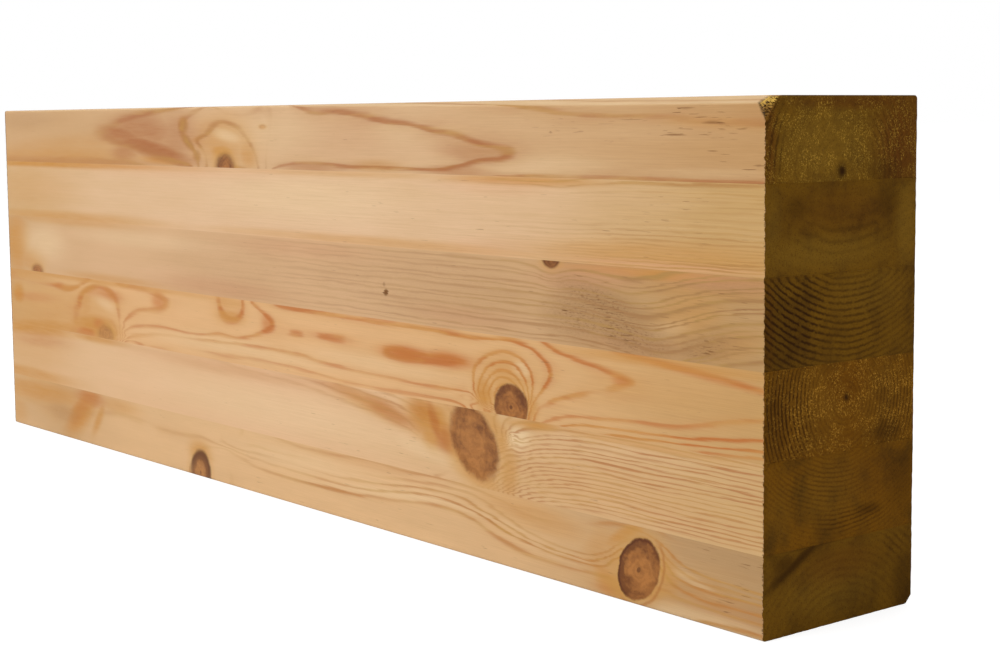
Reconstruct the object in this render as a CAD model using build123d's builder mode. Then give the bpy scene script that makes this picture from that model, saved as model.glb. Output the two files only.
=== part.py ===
from build123d import *
import os

# A glued laminated beam of pine, standing on its narrow edge: six boards, each glued flat
# on the next, planed all round and sawn square at both ends.
# X runs along the beam and ends at +X in the sawn end that is seen. Y runs across it, with
# the show side at -Y. Z is up. The origin is the middle of the underside. All in millimetres.

# Stock
beam_length = 880
beam_width = 115
lamination_count = 6
lamination_thickness = 46
edge_planing = 3
beam_depth = lamination_count * lamination_thickness - 2 * edge_planing

# Long arrises, as the planer and the knife left them
near_top_chamfer_down = 4.5
near_top_chamfer_across = 7
far_top_rounding = 2
near_bottom_rounding = 1.5
far_bottom_chamfer = 4.3

# Corner that the saw tore out at the near top of the sawn end
tear_along = 8
tear_across = 11
tear_down = 14


def glue_line_height(number):
    """Height of the underside of a board, counted from the top; 0 gives the beam's top."""
    sawn_height = (lamination_count - number) * lamination_thickness - edge_planing
    return min(max(sawn_height, 0), beam_depth)


def board_section(number):
    """Square-edged cross-section of one board, in its place in the stack, at the far end."""
    underside = glue_line_height(number)
    topside = glue_line_height(number - 1)
    with BuildSketch(Plane.YZ.offset(-beam_length / 2)) as section:
        with Locations((0, (underside + topside) / 2)):
            Rectangle(beam_width, topside - underside)
    return section.sketch


def torn_corner_plane():
    """Plane of the break, facing out, through the three arrises that meet at the torn corner."""
    corner = Vector(beam_length / 2, -beam_width / 2, beam_depth)
    along = corner - Vector(tear_along, 0, 0)
    across = corner + Vector(0, tear_across, 0)
    down = corner - Vector(0, 0, tear_down)
    return Plane(origin=along, x_dir=across - along, z_dir=(down - along).cross(across - along))


def top_lamination():
    """Outer board with the chamfered near arris, the eased far arris and the torn corner."""
    with BuildPart() as board:
        extrude(board_section(1), amount=beam_length)
        top_arrises = board.edges().filter_by(Axis.X).group_by(Axis.Z)[-1].sort_by(Axis.Y)
        show_side = board.faces().sort_by(Axis.Y)[0]
        chamfer(
            top_arrises[0],
            length=near_top_chamfer_down,
            length2=near_top_chamfer_across,
            reference=show_side,
        )
        far_arris = board.edges().filter_by(Axis.X).group_by(Axis.Z)[-1].sort_by(Axis.Y)[-1]
        fillet(far_arris, radius=far_top_rounding)
        split(bisect_by=torn_corner_plane(), keep=Keep.BOTTOM)
    return board


def inner_lamination(number):
    """Full board between two glue lines, square on all its arrises."""
    with BuildPart() as board:
        extrude(board_section(number), amount=beam_length)
    return board


def bottom_lamination():
    """Outer board with the rounded near arris and the chamfered far arris."""
    with BuildPart() as board:
        extrude(board_section(lamination_count), amount=beam_length)
        bottom_arrises = board.edges().filter_by(Axis.X).group_by(Axis.Z)[0].sort_by(Axis.Y)
        chamfer(bottom_arrises[-1], length=far_bottom_chamfer)
        near_arris = board.edges().filter_by(Axis.X).group_by(Axis.Z)[0].sort_by(Axis.Y)[0]
        fillet(near_arris, radius=near_bottom_rounding)
    return board


inner_numbers = range(2, lamination_count)
laminations = [
    top_lamination(),
    *[inner_lamination(number) for number in inner_numbers],
    bottom_lamination(),
]

os.makedirs("parts", exist_ok=True)
for number, board in enumerate(laminations, start=1):
    board.part.label = f"lamination_{number}"
    export_step(board.part, f"parts/{board.part.label}.step")
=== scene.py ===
"""Looks of a glued laminated beam of pine: six boards in place of their solids, a white stage and a camera.

Lengths are in millimetres, as on a maker's drawing, and MM turns them into Blender's metres.
X runs along the beam to the sawn end at +X, the show side is at -Y and Z is up.
Each board is one closed skin. Its growth rings are a ring number worked out for every point of the skin: on
the show side it is a thin plate bent through growth lines that were read off the wood, and elsewhere
it is the distance from the pith. The material turns the ring number into bands of late wood and adds fibre,
flecks, knots and stains.
"""
import math

import bpy
import numpy as np
from mathutils import Matrix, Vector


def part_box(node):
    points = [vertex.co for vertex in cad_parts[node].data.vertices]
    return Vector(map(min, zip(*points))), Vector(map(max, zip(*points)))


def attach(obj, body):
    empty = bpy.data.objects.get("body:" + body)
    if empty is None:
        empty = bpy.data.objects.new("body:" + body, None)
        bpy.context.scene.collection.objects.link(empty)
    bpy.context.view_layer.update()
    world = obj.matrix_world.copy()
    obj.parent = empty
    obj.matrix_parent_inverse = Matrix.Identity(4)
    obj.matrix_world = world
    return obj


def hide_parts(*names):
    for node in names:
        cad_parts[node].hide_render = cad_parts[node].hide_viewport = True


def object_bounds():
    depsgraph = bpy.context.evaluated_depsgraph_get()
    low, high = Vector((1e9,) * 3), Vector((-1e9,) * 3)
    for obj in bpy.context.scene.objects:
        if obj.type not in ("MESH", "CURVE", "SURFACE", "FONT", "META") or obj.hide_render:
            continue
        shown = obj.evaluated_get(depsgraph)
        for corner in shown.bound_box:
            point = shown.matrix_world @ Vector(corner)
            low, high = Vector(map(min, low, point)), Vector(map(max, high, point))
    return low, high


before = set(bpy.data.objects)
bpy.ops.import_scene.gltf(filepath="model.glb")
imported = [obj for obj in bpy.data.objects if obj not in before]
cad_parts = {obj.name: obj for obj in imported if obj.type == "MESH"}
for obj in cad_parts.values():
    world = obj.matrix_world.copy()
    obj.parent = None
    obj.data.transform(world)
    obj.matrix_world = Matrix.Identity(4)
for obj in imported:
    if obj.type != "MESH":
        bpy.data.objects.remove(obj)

MM = 0.001
TINY = 1e-9
cad_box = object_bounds()
beam_low, beam_high = (np.array(corner) / MM for corner in cad_box)
SHOW_SIDE, BACK_SIDE = beam_low[1], beam_high[1]
FAR_END, SAWN_END = beam_low[0], beam_high[0]
UNDERSIDE, TOP_EDGE = beam_low[2], beam_high[2]

# Long arrises, as in the solids
TOP_CHAMFER_DOWN = 4.5
TOP_CHAMFER_ACROSS = 7.0
TOP_ROUNDING = 2.0
BOTTOM_ROUNDING = 1.5
BOTTOM_CHAMFER = 4.3

# The near top chamfer is a share of its full size at each end, and grows smoothly between two places
FAR_CHAMFER = 0.2
NEAR_CHAMFER = 0.78
CHAMFER_FADE_FROM = -0.1 * SAWN_END
CHAMFER_FADE_TO = 0.8 * SAWN_END

# Corner torn out of the near top of the sawn end
TEAR_ALONG = 8.0
TEAR_ACROSS = 11.0
TEAR_DOWN = 14.0

# Ridges of fibre in the tear, full a little beyond its lip, and the two depths between which bare wood shows
TEAR_LIP = 0.3
RIDGES_FULL = 1.2
BARE_WOOD = (0.2, 1.4)
RIDGE_HEIGHT = 0.75
RIDGE_WIDTH = 1.3
RIDGE_STRETCH = 5.0

# Seeds of the noises
FUZZ_SEED = 3
SAW_MARK_SEED = 5
CHIP_SEED = 11
SMALL_CHIP_SEED = 12
RIDGE_SEED = 21

# Sawn ends: how far each mark reaches into the cut, and how wide it is
CUT_INSET = 0.05
FUZZ_DEPTH = 0.22
FUZZ_WIDTH = 1.6
SAW_MARK_DEPTH = 0.08
SAW_MARK_PITCH = 6.5
SAW_MARK_SLANT = 0.35
SAW_MARK_SWAY = 30
LATE_WOOD_DEPTH = 0.14

# Chips along the sawn arris: the big ones and the small ones
CHIP_DEPTH = 1.1
CHIP_WIDTH = 2.1
SMALL_CHIP_DEPTH = 0.8
SMALL_CHIP_WIDTH = 0.9
CHIP_REACH = 3.5

# Growth rings away from the show side: the pith wanders along the beam and knots swell the rings
PITH_SETTLES = 160
PITH_WANDER_ACROSS = 16
PITH_WANDER_UP = 22
WAVES_ACROSS = (760, 310)
WAVES_UP = (900, 370, 170)
RING_FLATTENING = 0.96
KNOT_SWELL = 2.2
SWELL_REACH = 1.7
PITH_SEED = 1000

# The show side's figure: how deep it reaches round an arris, and how far its plate stays off a board's edges
PLATE_DEPTH = 46.0
PLATE_INSET = 0.2
SHOWN_DEPTH = (2, 16)
HIDDEN_BOLD = 0.6
CHAMFER_PALE = 0.6
CHAMFER_HONEY = 0.35
DRIFT_WAVES = (260, 90)
DRIFT_WAVER = 0.06

# Stains that the cast attribute carries as its red, green, blue and alpha, on the side and on the ends
SIDE_STAINS = ("red", "honey", "grey", "pale")
END_STAINS = ("red", "dark", "bold", "pale")

# Knots
KNOT_DEPTH = 62.0
KNOT_THINNEST = 0.04
FAR_FROM_KNOTS = 9.0

# Mesh steps
STATION_STEP_FAR = 2.4
STATION_STEP_NEAR = 1.15
STATION_STEP_ARRIS = 0.6
ARRIS_LENGTH = 12.0
SHOW_STEP = 1.0
BACK_STEP = 3.0
EDGE_STEP = 2.2
HIDDEN_RUNS = 3
END_INSET = 0.7
SAWN_END_STEP = 0.9
FAR_END_STEP = 2.0

# Limits for the meshes: places tried for the stations, how near the full chamfer a point of it lies, how far
# an arris may dip from its outline's edge, when a point lies on the unit square, and the angle in degrees
# from which an edge is sharp
STATION_TRIALS = 2000
ON_CHAMFER = 1e-3
OUTLINE_DIP = 6
SQUARE_EDGE = 0.9999999
SHARP_ANGLE = 32

# Light: lengths in metres, power in watts
FLOOR_HALF = 40.0
FLOOR_DROP = 0.0002
FLOOR_GLOW = 0.83
WORLD_STRENGTH = 0.46
SOFTBOXES = (
    {"name": "key_softbox", "place": (-0.6, -2.6, 2.2), "target": (0, 0, 0.1), "size": 1.8, "power": 63},
    {"name": "end_softbox", "place": (3.0, -0.6, 1.6), "target": (0.4, 0, 0.1), "size": 1.6, "power": 12},
    {"name": "back_softbox", "place": (-0.8, 3.0, 2.0), "target": (0, 0, 0.1), "size": 1.8, "power": 26},
)

# Camera: its place in millimetres and its turns in degrees, fitted to the outline of the beam
CAMERA_PLACE = (1040.8, -708.7, 260.1)
CAMERA_AZIMUTH = 51.08
CAMERA_PITCH = 5.54
CAMERA_ROLL = -0.52
CAMERA_LENS = 65.15
CAMERA_SENSOR = 36.0
CAMERA_SHIFT_UP = -0.04
CAMERA_CLIP = 200.0


# Small mathematics

def smooth_step(low, high, x):
    """0 below low, 1 above high and 3t^2 - 2t^3 between."""
    t = np.clip((x - low) / (high - low), 0, 1)
    return t * t * (3 - 2 * t)


def waves(x, lengths, seed):
    """Gentle wander along x: a sum of sines, each as high as its wavelength, scaled to stay within 1."""
    rng = np.random.default_rng(seed)
    phases = rng.uniform(0, 2 * math.pi, len(lengths))
    heights = np.array(lengths) / max(lengths)
    angles = x[..., None] * 2 * math.pi / np.array(lengths) + phases
    return (np.sin(angles) * heights).sum(-1) / heights.sum()


# Large primes and shifts that scatter the hashed corner values of value_noise
AXIS_PRIMES = (73856093, 19349663, 83492791)
SEED_PRIME = 2654435761
MIXING_PRIME = 1274126177
FIRST_SHIFT = 13
SECOND_SHIFT = 16
HASH_MASK = 0x7FFFFFFF
HASH_LEVELS = 65536


def value_noise(points, cell, seed):
    """Smooth noise of -1 to 1 in up to three dimensions: hashed values at cell corners, blended smoothly."""
    scaled = np.asarray(points, float) / np.asarray(cell, float)
    base = np.floor(scaled).astype(np.int64)
    blend = scaled - base
    blend = blend * blend * (3 - 2 * blend)
    total = np.zeros(len(scaled))
    dimensions = scaled.shape[1]
    for corner in range(2 ** dimensions):
        offset = np.array([(corner >> axis) & 1 for axis in range(dimensions)])
        weight = np.where(offset, blend, 1 - blend).prod(1)
        key = ((base + offset) * np.array(AXIS_PRIMES)[:dimensions]).sum(1) + seed * SEED_PRIME
        key = (key ^ (key >> FIRST_SHIFT)) * MIXING_PRIME & HASH_MASK
        total += weight * ((key ^ (key >> SECOND_SHIFT)) % HASH_LEVELS / ((HASH_LEVELS - 1) / 2) - 1)
    return total


def smooth_path(points, runs=3):
    """Catmull-Rom curve through given points, as runs points for each stretch and the last point."""
    p = np.array(points, float)
    if len(p) < 2:
        return p
    padded = np.vstack([2 * p[0] - p[1], p, 2 * p[-1] - p[-2]])
    before, start, end, after = padded[:-3, None], padded[1:-2, None], padded[2:-1, None], padded[3:, None]
    t = (np.arange(runs) / runs)[None, :, None]
    curve = 0.5 * (
        2 * start
        + (end - before) * t
        + (2 * before - 5 * start + 4 * end - after) * t ** 2
        + (3 * start - before - 3 * end + after) * t ** 3
    )
    return np.vstack([curve.reshape(-1, p.shape[1]), p[-1]])


class ThinPlate:
    """Thin plate through values at places: a + b x + c z + the sum of w r^2 log r over the places.

    Lengths along the grain are squeezed first, because growth lines run far along a board.
    """
    SQUEEZE = 0.25
    SLACK = 0.15
    BLOCK = 4000

    def __init__(self, places, values):
        self.places = self.squeezed(places)
        count = len(self.places)
        flat = np.hstack([np.ones((count, 1)), self.places])
        system = np.zeros((count + 3, count + 3))
        system[:count, :count] = self.bend(self.places) + self.SLACK * np.eye(count)
        system[:count, count:] = flat
        system[count:, :count] = flat.T
        answer = np.linalg.solve(system, np.concatenate([values, np.zeros(3)]))
        self.weights, self.flat = answer[:count], answer[count:]

    def squeezed(self, places):
        """Places with their lengths along the grain squeezed."""
        return np.asarray(places, float) * np.array([self.SQUEEZE, 1.0])

    def bend(self, places):
        """r^2 log r between each of the given places and each of the plate's own."""
        apart = ((places[:, None] - self.places[None]) ** 2).sum(-1)
        return 0.5 * apart * np.log(apart + TINY)

    def at(self, places):
        """Values at many places and how steeply they change, in blocks to keep memory small.

        The slope of r^2 log r^2 / 2 along x is (log r^2 + 1) times the distance along x.
        """
        pulls = np.column_stack([self.weights, self.weights[:, None] * self.places])
        values, slopes = [], []
        scaled = self.squeezed(places)
        for block in np.array_split(scaled, len(scaled) // self.BLOCK + 1):
            apart = ((block[:, None] - self.places[None]) ** 2).sum(-1)
            log = np.log(apart + TINY)
            pull = (log + 1) @ pulls
            values.append(0.5 * (apart * log) @ self.weights + self.flat[0] + block @ self.flat[1:])
            slopes.append(pull[:, :1] * block - pull[:, 1:] + self.flat[1:])
        slope = self.squeezed(np.vstack(slopes))
        return np.concatenate(values), np.hypot(slope[:, 0], slope[:, 1])


def ring_plate(lines):
    """Thin plate through growth lines given as (ring number, points as (x, z)).

    A whole number is a line, drawn as a smooth path. A number between two whole ones is plain wood, held at
    its points only.
    """
    paths = [smooth_path(points) if float(ring).is_integer() else np.array(points, float)
             for ring, points in lines]
    values = [np.full(len(path), float(ring)) for (ring, points), path in zip(lines, paths)]
    return ThinPlate(np.vstack(paths), np.concatenate(values))


def patches(x, z, spots):
    """Strength of one kind of stain, 0 or more: for each spot, strength times exp(-r^3), r being elliptical.

    A spot is (strength, x, z, half length, half height) and, where it leans, its tilt in degrees. The
    strongest one wins at each point.
    """
    total = np.zeros(len(x))
    for strength, spot_x, spot_z, half_length, half_height, *tilt in spots:
        turn = math.radians(tilt[0]) if tilt else 0.0
        along = ((x - spot_x) * math.cos(turn) + (z - spot_z) * math.sin(turn)) / half_length
        across = ((z - spot_z) * math.cos(turn) - (x - spot_x) * math.sin(turn)) / half_height
        total = np.maximum(total, strength * np.exp(-np.hypot(along, across) ** 3))
    return total


# Figure of the six boards, read off the show side: x along the beam and z up, in millimetres

class Board:
    """One board's figure.

    lines: growth lines as (ring number, [(x, z), ...]); a number between two whole ones is plain wood.
    spots, end_spots: stains of the show side and of the ends, as a list for each kind, see patches(). On the
    side plain thins late wood out, strong brings it up, and flecked sows flecks, which fill a spot above 1.
    knots: see knot_field().
    drift, bold: how tanned the board is and how strong its late wood, as (x, share).
    pith, spacing: centre of the rings on the sawn end as (y, z), and their distance apart.
    end_bold: the least strength of the late wood on an end.
    """
    def __init__(self, slot, lines, spots, end_spots, knots, drift, bold, pith, spacing, end_bold):
        self.slot = slot
        self.lines = lines
        self.spots = spots
        self.end_spots = end_spots
        self.knots = knots
        self.drift = drift
        self.bold = bold
        self.pith = pith
        self.spacing = spacing
        self.end_bold = end_bold


def board_1():
    """Pink-tan board at the top: one long flame with a half knot in it, brown heart at its far part."""
    lines = [
        (3, [(-120, 271), (-150, 268.5), (-180, 266.3), (-204, 264.3), (-222, 261.5), (-236, 257.5),
             (-246, 254.5), (-256, 252.8), (-262, 251), (-250, 248), (-238, 245.2), (-225, 242.8),
             (-214, 241.6), (-190, 240), (-174, 237), (-156, 233.2), (-140, 230.3), (-124, 228.5),
             (-112, 225)]),
        (3, [(20, 270), (42, 264.6), (66, 264.4), (86, 263), (102, 261), (126, 258.6), (140, 257.6),
             (156, 255.6), (172, 252.6), (190, 251), (200, 249), (216, 245.5), (230, 243.5), (243, 241),
             (237, 236.8), (228, 236.2), (216, 235.4), (200, 233), (188, 231.6), (180, 230.4), (160, 229.4),
             (110, 230.4), (80, 230), (60, 231), (30, 231.4), (10, 230.4), (-6, 228), (-15, 224)]),
        (4, [(-98, 271), (-108, 267), (-120, 264), (-129, 260), (-133, 255.5), (-131.5, 250.5), (-126, 246),
             (-120, 242.5), (-115, 238.5), (-111, 234), (-109, 228), (-108, 224)]),
        (4, [(-18, 226), (-17, 234), (-16, 242), (-14, 250), (-13, 260), (-16, 271)]),
        (5, [(-97, 223), (-98, 231), (-101, 238), (-107, 243), (-110, 246), (-103, 248.4), (-97, 250),
             (-91, 253.5), (-84, 257.3), (-74, 258.8), (-64, 257.4), (-55, 255), (-48, 251.5), (-42, 246.8),
             (-36, 242), (-31, 236), (-28.5, 229), (-28, 223)]),
        (2, [(-440, 226), (-400, 227), (-350, 228), (-300, 229), (-262, 230), (-240, 230), (-215, 229.5),
             (-190, 226)]),
        (2, [(225, 272), (245, 268.5), (260, 266.2), (275, 264), (288, 262.4), (305, 261.2), (320, 260.6),
             (350, 260.3), (375, 259.5), (395, 257.8), (420, 256.8), (440, 256)]),
        (2, [(180, 224.5), (250, 226.8), (300, 227.4), (370, 227.4), (440, 227.2)]),
        (3.5, [(-160, 251), (-190, 252), (-60, 268), (30, 248), (100, 246), (150, 243)]),
        (3.3, [(-215, 252), (190, 242)]),
        (3.12, [(-240, 250.5), (222, 240.5)]),
        (5.4, [(-70, 248), (-80, 235), (-60, 235), (-44, 232)]),
        (2.75, [(-285, 250), (265, 240)]),
        (2.5, [(-330, 250), (-400, 250), (-440, 250), (330, 244), (400, 243), (440, 243)]),
        (2.4, [(-440, 267), (-330, 268), (-250, 268)]),
        (1.5, [(330, 268), (400, 266), (440, 266)]),
    ]
    spots = {
        "red": [(0.85, -226, 250.5, 36, 6.5, -5), (0.7, -190, 254, 52, 12, -3), (1.0, -180, 240, 66, 7, -8),
                (0.5, -140, 248, 34, 20), (0.45, 212, 240, 42, 6, -3), (0.2, 70, 252, 90, 20),
                (0.35, -330, 228.5, 190, 3.5), (0.5, 40, 229, 40, 3.5), (0.5, 195, 229, 34, 3.5),
                (0.55, -222, 236, 22, 6)],
        "honey": [(0.9, -130, 257, 7, 6), (0.9, -124, 245, 11, 4.5, -30), (0.8, -111, 235, 7, 4.5),
                  (0.6, -350, 228, 170, 15, 1), (0.35, -330, 240, 150, 9, 2), (0.6, -72, 246, 46, 19),
                  (0.9, -76, 238.5, 19, 6), (0.7, -42, 238, 14, 11, -30), (0.6, -108, 247.5, 16, 3, 10),
                  (0.3, 405, 257, 40, 3, -2), (0.4, 112, 231, 26, 4), (0.8, -165, 231, 38, 3.4, -2)],
        "grey": [(0.55, -130, 256, 6, 5), (0.6, -124, 245, 9, 3.5, -30), (0.5, -111, 235, 5, 4),
                 (0.2, -400, 262, 60, 8)],
        "pale": [(0.6, -68, 249.5, 21, 4.5, -8), (0.35, -10, 252, 60, 14), (0.3, 270, 234, 60, 6),
                 (0.25, 405, 231, 60, 3), (0.3, 138, 256, 28, 12)],
        "plain": [(0.6, 405, 257.5, 48, 4, -2), (0.8, -100, 236, 5, 9), (0.6, -32, 234, 6, 12),
                  (0.9, -16, 248, 9, 24), (1.0, -70, 265, 45, 4), (0.8, -330, 229, 140, 4),
                  (0.5, -62, 255, 34, 8, -12)],
        "strong": [(1.0, 198, 232, 45, 4, 8), (1.0, -180, 239, 62, 5, -8), (1.7, -130, 256, 11, 8),
                   (1.7, -122, 244, 14, 6, -40), (0.75, -75, 257, 38, 7)],
        "flecked": [(0.9, 395, 261, 28, 4, -4), (1.8, 404, 257, 13, 0.9), (1.9, 377, 251, 13, 0.8),
                    (1.7, 385, 264.2, 11, 0.9), (1.7, 404, 242.6, 6, 0.8), (1.6, 280, 252, 3, 0.9),
                    (1.7, 425, 254, 7, 0.8, 4), (1.6, 436, 236, 7, 0.7), (1.5, 345, 258.6, 14, 0.8),
                    (0.7, 400, 252, 50, 5, -2), (0.5, 300, 254, 60, 8), (0.7, 432, 236, 12, 4)],
    }
    knots = [
        ("show", -72, 227.5, 13.5, 10, 0, 1.12, 0.0, 0.6, 0.8),
        ("show", -21, 255.6, 4.5, 1.6, 0, 0.2, 0.0, 0.3, 1.0),
        ("back", 180, 246, 15, 12, 20, 0.85, 0.7, 0.6, 0.1),
        ("top", -205, 12, 14, 10, 15, 0.8, 0.7, 0.6, 0.1),
        ("top", 236, -22, 9, 7, -20, 0.6, 0.7, 0.5, 0.1),
    ]
    drift = [(-440, 0.55), (-300, 0.55), (-150, 0.35), (-60, 0.05), (160, 0.12), (300, 0.5), (440, 0.95)]
    bold = [(-440, 0.3), (-262, 0.5), (-180, 0.9), (-120, 1.0), (-60, 0.8), (0, 0.5), (90, 0.75),
            (243, 0.85), (300, 0.5), (440, 0.7)]
    end_spots = {
        "red": [(0.9, 44, 246, 20, 26), (0.7, 20, 267, 60, 4), (0.7, -55, 250, 5, 30)],
        "dark": [(1.0, -1.5, 232, 3.4, 3.6), (0.35, 30, 232, 14, 6)],
        "bold": [(0.6, -52, 250, 8, 26), (0.4, 34, 246, 14, 22)],
        "pale": [(0.9, -14, 246, 36, 22), (0.5, 24, 244, 26, 18), (0.35, 48, 240, 14, 16)],
    }
    return Board("pink_tan_pine", lines, spots, end_spots, knots, drift, bold,
                 pith=(-1.5, 232), spacing=4.2, end_bold=0.12)


def board_2():
    """Cream board, nearly plain, with fine lines at its sawn end."""
    heights = (221.4, 219.2, 217, 214.5, 212, 208.2, 204.4, 201.6, 199, 196.4, 194, 192, 190, 188.2, 186.4,
               184.6, 182.6)
    lines = [
        (2, [(190, 230), (215, 227.2), (236, 225.2), (260, 224.4), (280, 224.6), (300, 226), (325, 228)]),
        (1, [(200, 224.6), (240, 223), (268, 222.5), (290, 222.2), (310, 223.8), (340, 225.2), (390, 225.6),
             (440, 225.6)]),
    ]
    for ring, height in enumerate(heights):
        bend = 3.2 * smooth_step(183, 200, height)
        lines.append((-ring, [
            (-440, height - 1.5 * bend), (-250, height - 1.1 * bend), (-50, height - 1.3 * bend),
            (100, height - 1.2 * bend), (230, height - bend), (290, height - 0.8 * bend),
            (330, height - 0.3 * bend), (380, height), (440, height)]))
    spots = {
        "red": [(0.28, -150, 224, 150, 6), (0.3, 230, 221, 50, 5), (0.25, 225, 186, 40, 6),
                (0.5, 370, 183, 80, 2.5)],
        "honey": [(0.6, -330, 183, 170, 5), (0.3, -400, 205, 90, 20), (0.95, -350, 225.6, 240, 3),
                  (0.8, 250, 225, 70, 3), (0.4, 60, 225.6, 120, 2.4), (0.5, 110, 183.4, 200, 3.4),
                  (0.55, 360, 187, 110, 9, 1)],
        "pale": [(0.4, 30, 208, 110, 14)],
        "plain": [(0.75, 320, 211, 130, 9)],
        "strong": [(0.55, 270, 224, 50, 3.5), (1.0, 370, 226, 90, 2), (0.9, 400, 185, 90, 4, 1)],
        "flecked": [(0.5, 380, 205, 60, 18)],
    }
    knots = [("back", -120, 204, 17, 13, -15, 0.9, 0.8, 0.7, 0.1)]
    drift = [(-440, 0.55), (-300, 0.35), (-120, 0.08), (60, 0.0), (200, 0.12), (330, 0.55), (440, 0.95)]
    bold = [(-440, 0.05), (60, 0.04), (220, 0.07), (300, 0.2), (360, 0.35), (440, 0.5)]
    end_spots = {
        "red": [(0.3, 0, 212, 40, 12)],
        "dark": [(0.4, -35, 215, 9, 6), (0.4, 36, 216, 9, 8)],
        "bold": [(0.3, 0, 200, 40, 10)],
        "pale": [(0.7, -15, 192, 46, 9), (0.8, 50, 206, 9, 24), (0.5, -52, 204, 6, 22)],
    }
    return Board("cream_pine", lines, spots, end_spots, knots, drift, bold,
                 pith=(0, 300), spacing=5.5, end_bold=0.08)


def board_3():
    """Greyish pink board: fine straight lines that sink past a stained place and rise to the sawn end."""
    stations = np.array([-440, -340, -240, -140, -40, 60, 140, 200, 240, 262, 272, 279, 286, 296, 310, 330,
                         345, 360, 375, 390, 405, 420, 440])
    lines = []
    for ring in range(14):
        height = 136.6 + 3.55 * (ring - 1) + 0.9 * math.sin(ring * 2.4)
        past = stations + (height - 150) * 0.7
        sink = np.interp(past, [250, 290, 310, 330, 350, 362, 375, 390, 405, 420, 440, 460],
                         [0, 0.5, -0.5, -2.5, -5.5, -6.5, -4.5, -0.5, 3.5, 6.5, 8.5, 9.5])
        shallow = 1 - 0.45 * smooth_step(165, 182, height)
        under_knot = 5.5 * np.exp(-((stations - 279) / 16.0) ** 2) * smooth_step(158, 182, height)
        lines.append((ring, list(zip(stations, height + sink * shallow - under_knot))))
    spots = {
        "red": [(0.5, -90, 141, 90, 8), (0.35, 20, 175, 90, 7), (0.35, 200, 143, 50, 7),
                (0.6, 310, 174, 46, 8, 4), (0.35, 345, 140, 40, 6), (0.6, 410, 177, 40, 5)],
        "honey": [(0.85, -424, 158, 24, 26), (0.6, -400, 146, 30, 10), (0.4, 388, 160, 26, 14, 14),
                  (0.35, 415, 146, 26, 8, 10), (0.4, 405, 174, 50, 7, 3), (0.45, -330, 180, 120, 4),
                  (0.5, -250, 137, 80, 3.4), (1.0, 365, 178.4, 80, 3.4)],
        "grey": [(0.14, -60, 158, 110, 26), (0.7, 320, 161, 38, 9, -12), (0.72, 342, 145, 40, 10, -10),
                 (0.6, 305, 152, 34, 15), (0.55, 400, 143, 24, 8, 14), (0.3, 420, 176, 40, 5, 3),
                 (0.2, 150, 158, 140, 22)],
        "pale": [(0.2, 372, 150, 16, 5, 14), (0.5, -372, 160, 40, 15), (0.35, -200, 170, 110, 6)],
        "strong": [(0.9, 330, 148, 44, 14), (1.0, 404, 152, 40, 18)],
        "flecked": [(2.0, 121, 152.4, 3.6, 3, 30), (1.5, 119, 157.4, 2.8, 2.4), (0.8, 325, 152, 42, 18, -12),
                    (0.9, 405, 144, 22, 8, 10), (0.5, 400, 165, 40, 12), (1.6, 291, 154, 3.5, 0.9),
                    (1.6, 400, 147, 5, 0.8, 14)],
    }
    knots = [
        ("show", -385, 136, 11, 5.5, 0, 1.0, 0.0, 0.5, 1.0),
        ("show", 279.5, 183.2, 8.2, 6.6, 0, 1.5, 0.0, 0.45, 0.3),
        ("back", 305, 150, 14, 11, 25, 0.9, 0.8, 0.7, 0.1),
    ]
    drift = [(-440, 0.5), (-340, 0.15), (-200, 0.15), (0, 0.15), (160, 0.22), (260, 0.45), (330, 0.8),
             (440, 0.9)]
    bold = [(-440, 0.0), (-140, 0.02), (-40, 0.1), (60, 0.24), (200, 0.38), (300, 0.6), (360, 0.85),
            (440, 0.95)]
    end_spots = {
        "red": [(0.5, -55, 158, 4, 30)],
        "dark": [(0.4, -50, 150, 20, 24)],
        "bold": [(1.0, -38, 160, 36, 34), (0.6, 10, 154, 30, 30)],
        "pale": [(0.35, 20, 170, 30, 14)],
    }
    return Board("greyish_pine", lines, spots, end_spots, knots, drift, bold,
                 pith=(5, 250), spacing=3.15, end_bold=0.25)


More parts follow.
